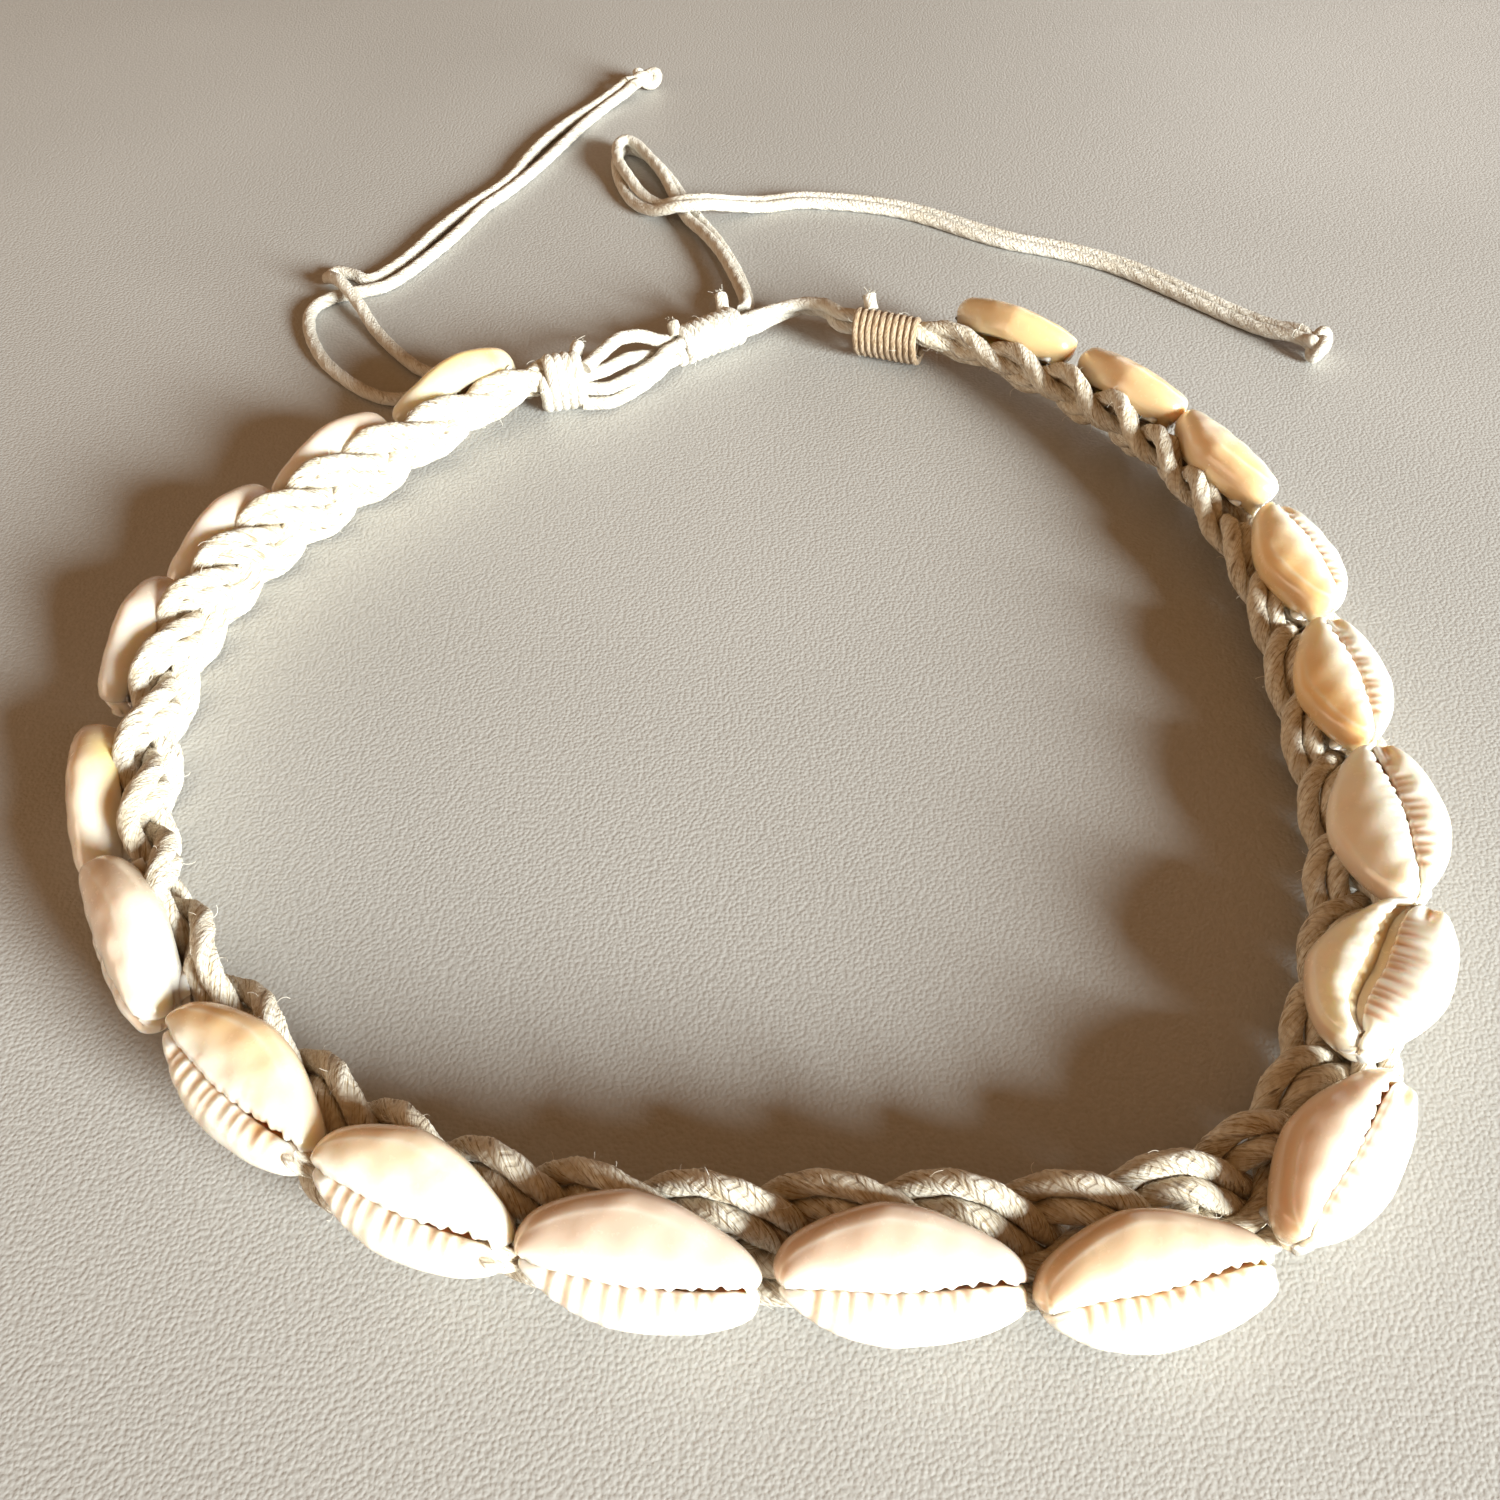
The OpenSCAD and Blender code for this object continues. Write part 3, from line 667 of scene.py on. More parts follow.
def windLine(start, end, e, wide, thick, turns, s):
    axis = end - start
    h = math.atan2(axis[1], axis[0])
    t = np.linspace(0, 1, int(turns * s["points"]) + 1)
    a = s["first"] + t * turns * math.tau
    # the first and last turns come out of the middle
    tuck = np.clip(np.minimum(t, 1 - t) * turns * s["entry"], s["least"], 1)[:, None]
    across = (wide / 2 * np.cos(a))[:, None] * upward(h, e) + (thick / 2 * np.sin(a))[:, None] * facing(h, e)
    return start + t[:, None] * axis + tuck * across


def makeBinding(name, node, ends, e, size, turns, radius, material=closureCotton):
    start, end = ends
    inset = radius * (end - start) / np.linalg.norm(end - start)
    wide, thick = (v - 2 * radius for v in size)
    line = windLine(start + inset, end - inset, e, wide, thick, turns, windSet)
    piece = makeCord(name, [line], material, {"step": windSet["step"], "radius": radius})
    settle(piece, "cord", node)
    return piece


leftEnds = stations[:2, :3]
leftAxis = leftEnds[1] - leftEnds[0]
leftEnds = leftEnds + bindingSet["leftShift"] * outward(math.atan2(leftAxis[1], leftAxis[0]))
bindingSize = (bindingSet["wide"], bindingSet["thick"])
slideEnds = np.array([(-9.2, 57.0, 2.7), (0.0, 63.6, 2.7)])
slideSet = {"size": 5.2, "turns": 9.0, "cord": 0.75}
bindings = [
    makeBinding(
        "leftBinding", "left_binding", leftEnds, stations[1, 3], bindingSize, bindingSet["leftTurns"],
        bindingSet["leftCord"]
    ),
    # the right binding is wound in the darker copy of the cotton: painted shade
    makeBinding(
        "rightBinding", "right_binding", stations[-2:, :3], stations[-2, 3], bindingSize,
        bindingSet["rightTurns"], bindingSet["rightCord"], shadedCotton
    ),
    makeBinding(
        "slideKnot", "slide_knot", slideEnds, 0.0, (slideSet["size"], slideSet["size"]), slideSet["turns"],
        slideSet["cord"]
    )
]
note("bindings and sliding knot")


# Cords of the closure

eyeRoutes = {
    "A": [(-18.1, 47.9, 7.1), (-17.4, 49.0, 7.2), (-15.4, 54.0, 6.2), (-12.8, 56.2, 5.2), (-11.0, 56.8, 4.2),
          (-10.0, 57.5, 3.7)],
    "B": [(-18.4, 47.9, 5.2), (-17.0, 49.0, 5.0), (-14.4, 53.3, 3.8), (-12.4, 55.5, 2.7), (-11.0, 56.8, 2.0),
          (-9.9, 57.6, 1.9)],
    "C": [(-18.4, 47.8, 3.2), (-16.6, 48.5, 2.8), (-13.6, 51.3, 2.65), (-11.0, 53.6, 3.1), (-9.8, 55.3, 3.5),
          (-8.8, 56.2, 3.6)],
    "D": [(-18.4, 47.5, 1.3), (-16.2, 48.1, 1.1), (-13.4, 50.8, 1.1), (-11.0, 53.3, 1.6), (-9.8, 55.1, 1.9),
          (-8.9, 56.1, 1.8)]
}
bridgeRoute = [
    (0.6, 63.0, 2.7, 90), (2.1, 64.0, 2.7, 95), (4.4, 65.5, 2.8, 115), (7.6, 66.5, 3.2, 130),
    (10.6, 65.0, 3.8, 120), (11.7, 62.5, 4.3, 100), (12.6, 61.1, 4.5, 90), (13.7, 60.6, 4.6, 90)
]
for letter, route in eyeRoutes.items():
    line = longer(smoothLine(route, 8), 1.5, 2.0)
    settle(makeCord("eyeCord" + letter, [line], closureCotton), "cord", "eye_cord_" + letter.lower())
for letter, points in zip("AB", pairLines(bridgeRoute, pairHalf)):
    line = longer(smoothLine(points, 8), 2.0, 1.5)
    settle(makeCord("bridgeCord" + letter, [line], closureCotton), "cord", "bridge_cord_" + letter.lower())
note("closure cords")


# Cut ends left by the tying, frayed tufts, and the ties that show in the canals of some shells

cutEnds = [
    [(-2.6, 63.6, 3.6), (-2.8, 64.6, 4.8), (-3.1, 65.5, 5.4)],
    [(16.2, 59.4, 7.0), (16.0, 60.2, 7.8), (15.9, 60.7, 8.1)],
    [(-20.4, 49.2, 6.8), (-20.3, 50.1, 7.4), (-20.1, 50.6, 7.5)],
    [(-8.6, 57.8, 4.2), (-8.8, 58.5, 4.9), (-9.0, 59.0, 5.1)]
]
tuftTable = [
    # where it grows, the way it points, length
    ((-20.1, 50.6, 7.5), (0.3, 0.9, 0.2), 0.5),
    ((-9.0, 59.0, 5.1), (-0.2, 0.8, 0.5), 0.5),
    ((15.9, 60.7, 8.1), (-0.2, 0.8, 0.6), 0.5),
    ((-3.1, 65.5, 5.4), (-0.5, 0.7, 0.3), 0.5)
]
tieTable = [
    # shell counted from 0, place along it, across it, length
    (6, 0.86, -0.30, 3.4),
    (7, 0.86, -0.32, 3.0),
    (12, 0.80, 0.02, 4.2)
]
cutSet = {"step": 0.35, "groove": 0.12}
tuftSet = {
    "fibres": 34, "fan": 0.38, "root": 0.34, "least": 0.5, "most": 1.25, "bend": 0.25, "points": 5, "seed": 11
}
tuftCord = {"radius": 0.05, "sides": 5, "step": 0.35, "groove": 0.0}
# along the shell and up from its face: over the lip and down into the canal
tieSet = {"apart": 0.45, "route": [(-1.4, 0.1), (0.0, 0.75), (1.0, 0.3), (1.6, -1.2)], "last": 1.2}
tieCord = {"radius": 0.5, "step": 0.35}
fuzzSet = {
    "plait": 105000.0, "closure": 60000.0, "long": 0.75, "thin": 0.017, "seed": 7, "lowest": 0.02,
    "bends": [(0, 0, -0.05), (0.1, 0, 0.7), (0.75, 0.2, 0.75)], "lean": 0.7, "sizes": (0.35, 1.6),
    "steps": 4, "sides": 3
}


def makeCutEnds():
    lines = [smoothLine(points, 6) for points in cutEnds]
    settle(makeCord("cutEnds", lines, closureCotton, cutSet), "cord")


def makeTufts(s):
    rng = np.random.default_rng(s["seed"])
    steps = np.linspace(0, 1, s["points"])
    lines = []
    for root, way, long in tuftTable:
        for _ in range(s["fibres"]):
            d = np.array(way) + rng.normal(0, s["fan"], 3)
            d /= np.linalg.norm(d)
            start = np.array(root) + rng.normal(0, s["root"], 3)
            reach = long * rng.uniform(s["least"], s["most"])
            bend = rng.normal(0, s["bend"], 3)
            lines.append(np.array([start + reach * t * d + bend * t * t for t in steps]))
    settle(makeCord("tufts", lines, closureCotton, tuftCord), "cord")


def makeTies(s):
    lines = []
    for i, ahead, over, long in tieTable:
        shell = shells[i]
        t, u, n = along(shell["h"]), upward(shell["h"], shell["e"]), facing(shell["h"], shell["e"])
        base = shell["middle"] + ahead * shell["long"] / 2 * t + over * shell["wide"] / 2 * u
        for side in (-s["apart"], s["apart"]):
            route = s["route"] + [(s["last"], -long)]
            lines.append(smoothLine([base + x * t + side * u + z * n for x, z in route], 6))
    settle(makeCord("shellTies", lines, plaitCotton, tieCord), "cord")


def fuzzTree(s):
    tree, start = newTree("cotton fuzz", ("Density", "Length", "Radius"), ("Seed",))
    long, seed = start["Length"], start["Seed"]
    values = {"Mesh": start["Geometry"], "Density": start["Density"], "Seed": seed}
    scatter = addNode(tree, "GeometryNodeDistributePointsOnFaces", values).outputs
    # one bent fibre, in the length asked for
    values = {"Resolution": s["steps"], **dict(zip(("Start", "Middle", "End"), s["bends"]))}
    fibre = addNode(tree, "GeometryNodeCurveQuadraticBezier", values).outputs["Curve"]
    grow = addNode(tree, "ShaderNodeCombineXYZ", {"X": long, "Y": long, "Z": long}).outputs["Vector"]
    grown = addNode(tree, "GeometryNodeTransform", {"Geometry": fibre, "Scale": grow}).outputs["Geometry"]
    values = {"Resolution": s["sides"], "Radius": start["Radius"]}
    ring = addNode(tree, "GeometryNodeCurvePrimitiveCircle", values).outputs["Curve"]
    values = {"Curve": grown, "Profile Curve": ring, "Fill Caps": True}
    tube = addNode(tree, "GeometryNodeCurveToMesh", values).outputs["Mesh"]
    # each leans its own way and has its own size
    low, high = (-s["lean"], -s["lean"], 0.0), (s["lean"], s["lean"], math.tau)
    values = {"Min": low, "Max": high, "Seed": seed}
    lean = addNode(tree, "FunctionNodeRandomValue", values, {"data_type": "FLOAT_VECTOR"}).outputs[0]
    euler = addNode(tree, "FunctionNodeEulerToRotation", {0: lean}).outputs[0]
    values = {0: scatter["Rotation"], 1: euler}
    turn = addNode(tree, "FunctionNodeRotateRotation", values, {"rotation_space": "LOCAL"}).outputs[0]
    values = {2: s["sizes"][0], 3: s["sizes"][1], "Seed": seed}
    vary = addNode(tree, "FunctionNodeRandomValue", values, {"data_type": "FLOAT"}).outputs[1]
    values = {"Points": scatter["Points"], "Instance": tube, "Rotation": turn, "Scale": vary}
    place = addNode(tree, "GeometryNodeInstanceOnPoints", values).outputs["Instances"]
    return endTree(tree, place, start["Material"])


cottonFuzz = fuzzTree(fuzzSet)


def makeFuzz(name, pieces, density, s):
    for k, source in enumerate(pieces):
        copy = linkObject(name + "Source", source.data.copy())
        piece = runTree(copy, cottonFuzz, {
            "Density": density, "Length": s["long"] * mm, "Radius": s["thin"] * mm, "Seed": s["seed"] + k,
            "Material": fuzzCotton
        }, name if len(pieces) == 1 else name + str(k + 1))
        # fibres that would reach under the table lie on it
        spots = np.empty(3 * len(piece.data.vertices), dtype=np.float32)
        piece.data.vertices.foreach_get("co", spots)
        spots[2::3] = np.maximum(spots[2::3], s["lowest"] * mm)
        piece.data.vertices.foreach_set("co", spots)
        settle(piece, "cord")


fuzzCotton = cordMaterial("loose fibres", {
    "deep": (0.70, 0.62, 0.50), "cotton": (0.84, 0.78, 0.68), "pale": (0.92, 0.88, 0.80),
    "tan": (0.78, 0.70, 0.58), "fleck": (0.60, 0.50, 0.38), "flecks": 0.1, "groove": 0.0, "yarns": 0.0
})
makeCutEnds()
makeTufts(tuftSet)
makeTies(tieSet)
makeFuzz("plaitFuzz", [plaitPiece], fuzzSet["plait"], fuzzSet)
makeFuzz("bindingFuzz", bindings, fuzzSet["closure"], fuzzSet)
note("cut ends, tufts, ties and fuzz")


# Shell outline seen on the toothed face, as shares of half the length and half the width. It goes
# anticlockwise from the notch at the beak, over the upper lip, and back under the lower lip.

upperOutline = [
    (0.93, -0.17), (0.985, -0.10), (1.0, 0.0), (0.95, 0.17), (0.83, 0.37), (0.67, 0.54), (0.317, 0.845),
    (0.0, 0.99), (-0.217, 0.99), (-0.573, 0.82), (-0.857, 0.565), (-0.98, 0.26), (-0.975, 0.02),
    (-0.92, -0.09)
]
lowerOutline = [
    (-0.92, -0.09), (-0.945, -0.17), (-0.84, -0.40), (-0.573, -0.74), (-0.217, -0.96), (0.07, -1.0),
    (0.495, -0.925), (0.78, -0.77), (0.95, -0.59), (0.995, -0.40), (0.985, -0.26), (0.93, -0.17)
]
slitLine = [
    (-1.0, -0.08), (-0.6, -0.14), (-0.1, -0.23), (0.3, -0.22), (0.6, -0.17), (0.8, -0.13), (1.0, -0.17)
]
# across and domes: points and rows on a far shell, then on a near one; wall: heights from the cut to the
# face; turns: angles round the lip; inner: share of the lip's width and a distance, height, how far
# inside it counts, and how much it is drawn in at the ends
shellSet = {
    "face": 2.3, "back": 2.7, "endShare": 0.36, "upperRoll": 0.62, "lowerRoll": 0.42, "rollShare": 0.42,
    "gap": 0.16, "wideGap": 1.5, "closed": 0.5, "widens": 2.2, "sag": 0.4, "hump": 0.2, "reach": 0.9,
    "follow": 0.88, "beak": 0.93, "thinner": 0.65, "bottom": 0.2, "wideBottom": 1.2, "under": 0.55,
    "across": (84, 140), "domes": (18, 24), "wall": (-2.7, -2.0, -1.3, -0.7, -0.3),
    "turns": (75, 60, 45, 30, 15, 0, -20, -40, -60),
    "inner": [
        (0.4, 0, -0.9, 1.0, 0), (0.7, 0, -1.4, 0.3, 0), (1, -1.9, -2.0, 0.15, 1.8), (1, -2.2, -2.7, 0.1, 2.2)
    ]
}
ribSet = {
    "first": -0.66, "last": 0.62, "shift": 0.025, "width": 0.38, "vary": 0.12, "fan": 0.22, "lean": 0.05,
    "fade": 0.9, "long": 1.35, "shorter": 0.6, "reach": (0.65, 1.3)
}
# canals: place along and across as shares, size along and across; waves: height, pitch, turn
markSet = {
    "beakCanal": (0.86, -0.36, 1.5, 0.62), "tailCanal": (-0.9, -0.06, 1.0, 0.4), "lowerDepth": 0.75,
    "upperDepth": 0.35, "tailDepth": 0.5, "creaseIn": 0.75, "creaseWide": 0.16, "creaseHigh": 0.05,
    "wobble": 0.05, "waves": [(0.11, 4.6, 3), (0.06, 8.3, 1)], "waveReach": 1.2
}
# ribs on the lower lip, their length as a share of it and depth, teeth on the upper lip and their depth,
# then how peach (partly painted shade, and above 1 more painted shade on the upper lip), how amber and how
# brown it is
lookTable = [
    (9, 0.45, 0.18, 4, 0.08, 0.3, 1.0, 0.0),
    (9, 0.40, 0.18, 4, 0.08, 0.3, 0.1, 0.0),
    (10, 0.40, 0.18, 5, 0.08, 0.3, 0.1, 0.0),
    (9, 0.45, 0.18, 4, 0.08, 0.3, 0.1, 0.0),
    (10, 0.45, 0.18, 5, 0.08, 0.4, 0.5, 0.1),
    (9, 0.60, 0.22, 5, 0.10, 0.4, 0.4, 0.1),
    (11, 0.80, 0.24, 6, 0.16, 0.9, 0.75, 0.5),
    (10, 0.80, 0.24, 6, 0.12, 0.5, 0.7, 0.2),
    (10, 0.95, 0.34, 6, 0.14, 1.4, 0.1, 0.1),
    (11, 0.85, 0.34, 6, 0.12, 1.25, 0.1, 0.1),
    (11, 0.85, 0.36, 6, 0.14, 1.35, 0.8, 0.5),
    (9, 0.30, 0.14, 4, 0.08, 1.0, 0.3, 0.1),
    (12, 0.70, 0.26, 18, 0.16, 0.2, 0.8, 0.0),
    (13, 0.45, 0.26, 12, 0.16, 0.1, 0.7, 0.0),
    (12, 0.45, 0.22, 10, 0.12, 1.0, 1.0, 0.1),
    (11, 0.45, 0.22, 8, 0.10, 1.0, 1.0, 0.1),
    (10, 0.45, 0.20, 6, 0.10, 1.0, 0.8, 0.1),
    (10, 0.40, 0.20, 5, 0.10, 1.0, 0.8, 0.1),
    (9, 0.40, 0.20, 5, 0.10, 1.0, 1.0, 0.2)
]

# stains: shell counted from 0, place along and across it, height, size along and across, how yellow
stainTable = [
    (0, -0.6, 0.85, -1.6, 1.0, 1.0, 0.2),
    (0, 0.0, 1.6, 0.5, 9.0, 4.5, 1.0),
    (4, -0.25, 0.75, -2.4, 3.2, 1.3, 1.0),
    (4, 0.55, 0.75, -2.6, 2.6, 0.7, 0.3),
    (6, 0.5, -0.25, 1.5, 0.9, 0.9, 0.0),
    (6, -0.55, 0.75, 0.6, 1.6, 0.6, 0.3),
    (10, -0.05, -0.12, 1.5, 0.45, 0.45, 0.0),
    (10, 0.12, -0.2, 1.5, 0.3, 0.3, 0.0),
    (12, 0.3, 0.1, 1.0, 1.2, 1.2, 0.2),
    (18, -0.3, 0.3, 1.5, 1.0, 1.0, 0.2)
]


def ribMask(x, across, long, count, share, length, rng, s=ribSet):
    # narrow grooves that start at the slit and fan towards the ends
    mask = np.zeros_like(x)
    places = np.linspace(s["first"], s["last"], count) + rng.uniform(-s["shift"], s["shift"], count)
    for place in places:
        reach = length * share * (s["long"] - s["shorter"] * (place - s["first"])) * rng.uniform(*s["reach"])
        centre = place * long / 2 + (s["fan"] * place - s["lean"]) * across
        width = s["width"] + s["vary"] * rng.random()
        line = np.exp(-((x - centre) / width) ** 2)
        mask = np.maximum(mask, line * np.clip(1.1 - across / reach, 0, 1) ** s["fade"])
    return mask


def hollow(p, halfLong, halfWide, place):
    ahead, over, sizeAlong, sizeAcross = place
    apart = ((p[:, 0] - ahead * halfLong) / sizeAlong) ** 2 + ((p[:, 1] - over * halfWide) / sizeAcross) ** 2
    return np.exp(-apart)


def slitAndEdge(shell, s, across):
    # matching points on the rim of the slit and on the outer edge, for the upper and the lower lip
    half = np.array([shell["long"] / 2, shell["wide"] / 2])
    wideOpen = shell["gap"] >= 1
    gap = s["wideGap"] if wideOpen else s["gap"]
    lift = 2 * (0.11 - shell["slit"])
    share = np.arange(across) / across
    rims, edges, gaps = [], [], []
    for outline, side in ((upperOutline, 1), (lowerOutline, -1)):
        edge = evenLine(smoothLine(outline, 10), across + 1)[:-1]
        ex = side * np.minimum.accumulate(np.minimum(side * edge[:, 0] / s["beak"], 1))
        ex = np.clip(s["follow"] * ex + (1 - s["follow"]) * side * np.cos(math.pi * share), -1, 1)
        sx = s["reach"] * ex
        sy = np.interp(sx, [p[0] for p in slitLine], [p[1] for p in slitLine]) + lift * (1 - ex ** 4)
        wider = 1.0 if wideOpen else s["closed"] + s["widens"] * np.clip((sx - 0.1) / 0.5, 0, 1)
        here = gap * np.sqrt(np.clip(1 - ex ** 2, 0, 1)) ** 0.7 * wider
        rims.append(np.stack([sx * half[0], sy * half[1] + side * here / 2], axis=1))
        edges.append(edge * half)
        gaps.append(here)
    upper = np.repeat([True, False], across)
    return np.concatenate(rims), np.concatenate(edges), upper, np.tile(share, 2), np.concatenate(gaps)


def lipRows(rim, edge, upper, share, gapHere, wideOpen, domes, s):
    # rows go from the cut back over the face, round the lip and back inside
    width = np.linalg.norm(edge - rim, axis=1)
    toEdge = (edge - rim) / width[:, None]
    full = np.sin(math.pi * share) ** 0.62
    top = s["face"] * (s["endShare"] + (1 - s["endShare"]) * full)
    roll = np.where(upper, s["upperRoll"], s["lowerRoll"]) * (s["thinner"] if wideOpen else 1.0)
    roll = np.minimum(roll, s["rollShare"] * width)
    points, outs, insides = [], [], []

    def add(out, z, inside, shrink=0.0):
        flat = rim + toEdge * (out - shrink)[:, None]
        points.append(np.column_stack([flat, np.broadcast_to(z, len(width))]))
        outs.append(np.clip(out / width, 0, 1))
        insides.append(np.full(len(width), inside))

    def face(out):
        q = np.clip(out / width, 0, 1)
        hump = s["hump"] * full * np.exp(-((q - 0.4) / 0.3) ** 2)
        return top * (1 - q ** 2.5) ** 0.5 + np.where(upper, hump, -s["sag"] * full * (1 - q) ** 2)

    for z in s["wall"]:
        add(width, z, 0.0, (1.3 + 2.2 * (1 - full)) * (z / s["back"]) ** 2)
    for k in range(domes + 1):
        out = roll + (width - roll) * (1 - (k / domes) ** 1.7)
        add(out, face(out), 0.0)
    for angle in s["turns"]:
        a = math.radians(angle)
        crest = face(roll * (1 - math.cos(max(a, 0))))
        add(roll * (1 - math.cos(a)), crest - roll * (1 - math.sin(a)), np.clip(-angle / 60 + 0.35, 0, 1))
    # the bottom of the slit, then the inner wall back to the cut
    add(-s["under"] * gapHere, s["wideBottom"] if wideOpen else s["bottom"], 1.0)
    for ratio, more, z, inside, drawn in s["inner"]:
        add(ratio * width + more, z, inside, drawn * (1 - full))
    return np.concatenate(points), np.concatenate(outs), np.concatenate(insides), width


def stainOf(i, p, halfLong, halfWide):
    stain = np.zeros((len(p), 3))
    for number, ahead, over, high, sizeAlong, sizeAcross, yellow in stainTable:
        if number == i:
            apart = ((p[:, 0] - ahead * halfLong) / sizeAlong) ** 2
            apart = apart + ((p[:, 1] - over * halfWide) / sizeAcross) ** 2
            apart = apart + ((p[:, 2] - high) / (2 * sizeAcross)) ** 2
            stain[:, 0] = np.maximum(stain[:, 0], (1 - yellow) * np.exp(-apart))
            stain[:, 1] = np.maximum(stain[:, 1], yellow * np.exp(-apart))
    return stain


def makeShell(i, shell, look, s, m):
    rng = np.random.default_rng(40 + i)
    ribs, ribShare, ribDepth, teeth, teethDepth, peachAndShade, amber, brown = look
    near = 5 <= i <= 15
    long, halfLong, halfWide = shell["long"], shell["long"] / 2, shell["wide"] / 2
    rim, edge, upper, share, gapHere = slitAndEdge(shell, s, s["across"][near])
    p, q, inside, width = lipRows(rim, edge, upper, share, gapHere, shell["gap"] >= 1, s["domes"][near], s)
    count = len(width)
    rows = len(p) // count
    isUpper, lipWidth = np.tile(upper, rows), np.tile(width, rows)
    fromSlit = q * lipWidth
    faceRow = p[:, 2] > -0.2

    grooves, notches = np.zeros(len(p)), np.zeros(len(p))
    low = ~isUpper
    grooves[low] = ribMask(p[low, 0], fromSlit[low], long, ribs, ribShare, halfWide * 0.8, rng)
    notches[isUpper] = ribMask(p[isUpper, 0], fromSlit[isUpper], long, teeth + 4, 0.25, halfWide, rng)
    notches *= np.clip(0.35 + p[:, 0] / halfLong, 0.15, 1) if teeth < 8 else 1.0
    dents = np.where(faceRow | (inside > 0), ribDepth * grooves + teethDepth * notches, 0)
    # the canal at the beak, scooped out of the lower lip, and the small one at the other end
    canal = hollow(p, halfLong, halfWide, m["beakCanal"])
    tail = hollow(p, halfLong, halfWide, m["tailCanal"])
    canals = np.where(isUpper, m["upperDepth"], m["lowerDepth"]) * canal + m["tailDepth"] * tail
    dents += np.where(faceRow, canals, 0)
    crease = np.exp(-(((1 - q) * lipWidth - m["creaseIn"]) / m["creaseWide"]) ** 2)
    crease = crease * isUpper * faceRow * np.clip(0.6 - p[:, 0] / halfLong, 0, 1)
    wobble = m["wobble"] * np.sin(p[:, 0] * 1.9 + i) * np.cos(p[:, 1] * 1.3 + 2 * i) * faceRow
    p[:, 2] += np.where(inside >= 1, 0, m["creaseHigh"] * crease + wobble - dents)
    # the upper lip's edge is faintly scalloped
    wave = sum(high * np.sin(p[:, 0] * pitch + turn * i) for high, pitch, turn in m["waves"])
    wave = wave * np.clip(1 - fromSlit / m["waveReach"], 0, 1) * np.clip(0.55 + p[:, 0] / halfLong, 0.3, 1.3)
    p[:, 1] += wave * isUpper * (inside < 1)

    h, e = shell["h"], shell["e"]
    world = shell["middle"] + p[:, :1] * along(h) + p[:, 1:2] * upward(h, e) + p[:, 2:] * facing(h, e)
    faces = []
    for r in range(rows):
        a, b = r * count, (r + 1) % rows * count
        for c in range(count):
            n = (c + 1) % count
            faces.append((a + c, a + n, b + n, b + c))
    piece = meshObject("shell%02d" % (i + 1), world * mm, faces, shellGlaze)
    lip = [p[:, 0] / halfLong, np.where(isUpper, q, -q), np.maximum(grooves, 0.7 * notches)]
    storeVector(piece.data, "lip", np.stack(lip, axis=1))
    storeVector(piece.data, "mark", np.stack([np.clip(canal, 0, 1), crease, inside], axis=1))
    storeVector(piece.data, "tint", np.tile([peachAndShade, amber, brown], (len(p), 1)))
    storeVector(piece.data, "own", p * mm + np.array([0.03 * i, 0.0, 0.0]))
    storeVector(piece.data, "stain", stainOf(i, p, halfLong, halfWide))
    settle(piece, "shell", "shell_%02d" % (i + 1))


# noises: scale, detail and roughness; masks: from, to, and what they give there
glazeSet = {
    "cloud": (260, 3, 0.5), "fine": (1400, 3, 0.6), "blotch": (420, 2, 0.5),
    "pink": [(0.35, (0.89, 0.80, 0.71)), (0.6, (0.95, 0.89, 0.82))],
    "cream": [(0.35, (0.97, 0.88, 0.75)), (0.6, (0.99, 0.93, 0.84))], "creamFrom": (0.3, 0.9),
    # peach: the upper lip's tone, partly the shell's own peach and partly painted shade
    "peachCloud": 0.35, "peachLip": (0.2, 0.95), "peachAlong": (1.0, -0.6, 0.45, 1.0),
    "peachShare": (0.0, 1.0, 0.3, 1.0), "peachAndShade": (0.68, 0.50, 0.38), "amber": (0.93, 0.63, 0.30),
    # deep: painted shade that darkens the upper lips of shells whose peach is over 1
    "upperShadeShare": (1.0, 1.5, 0.0, 0.62), "upperShadeLip": (0.0, 0.55), "deep": (0.58, 0.45, 0.36),
    "rimLip": (0.86, 0.97), "rimAlong": (0.4, -0.7), "rimShare": 0.45, "rim": (0.52, 0.36, 0.23),
    "lowRimLip": (-0.8, -1.0), "lowRimShare": 0.35, "lowRim": (0.74, 0.58, 0.40),
    # groove and warm: painted shade in the rib grooves and the notches of the upper lip, warmer on amber
    # shells
    "groove": (0.1, 1.0), "grooveShare": 0.6, "grooveShade": (0.68, 0.44, 0.27),
    "warm": (0.5, 1.0), "warmShare": 0.4, "warmGrooveShade": (0.62, 0.30, 0.09),
    # canal: partly the canal's own peach tone and partly painted shade in its hollow
    "canalShare": 0.55, "canalTone": (0.78, 0.52, 0.30),
    "blotchFrom": (0.62, 0.72), "blotchShare": 0.5, "blotchTone": (0.42, 0.30, 0.20),
    "creaseShare": 0.45, "creaseTone": (0.92, 0.86, 0.76),
    "stainShare": 0.85, "brownStain": (0.50, 0.25, 0.08), "yellowStain": (1.0, 0.72, 0.24),
    # within: painted shade inside the slit and the open back; withinAmber: the aperture's own orange on amber
    # shells
    "insideShade": (0.62, 0.40, 0.25), "withinAmber": (1.0, 0.74, 0.45),
    "rough": (0.18, 0.16), "cloudHigh": 0.7, "fineHigh": 0.3, "bump": (0.00012, 0.6),
    "shader": {
        "Subsurface Weight": 0.6, "Subsurface Radius": (1.0, 0.74, 0.52), "Subsurface Scale": 0.0024,
        "Coat Weight": 0.35, "Coat Roughness": 0.08
    }
}


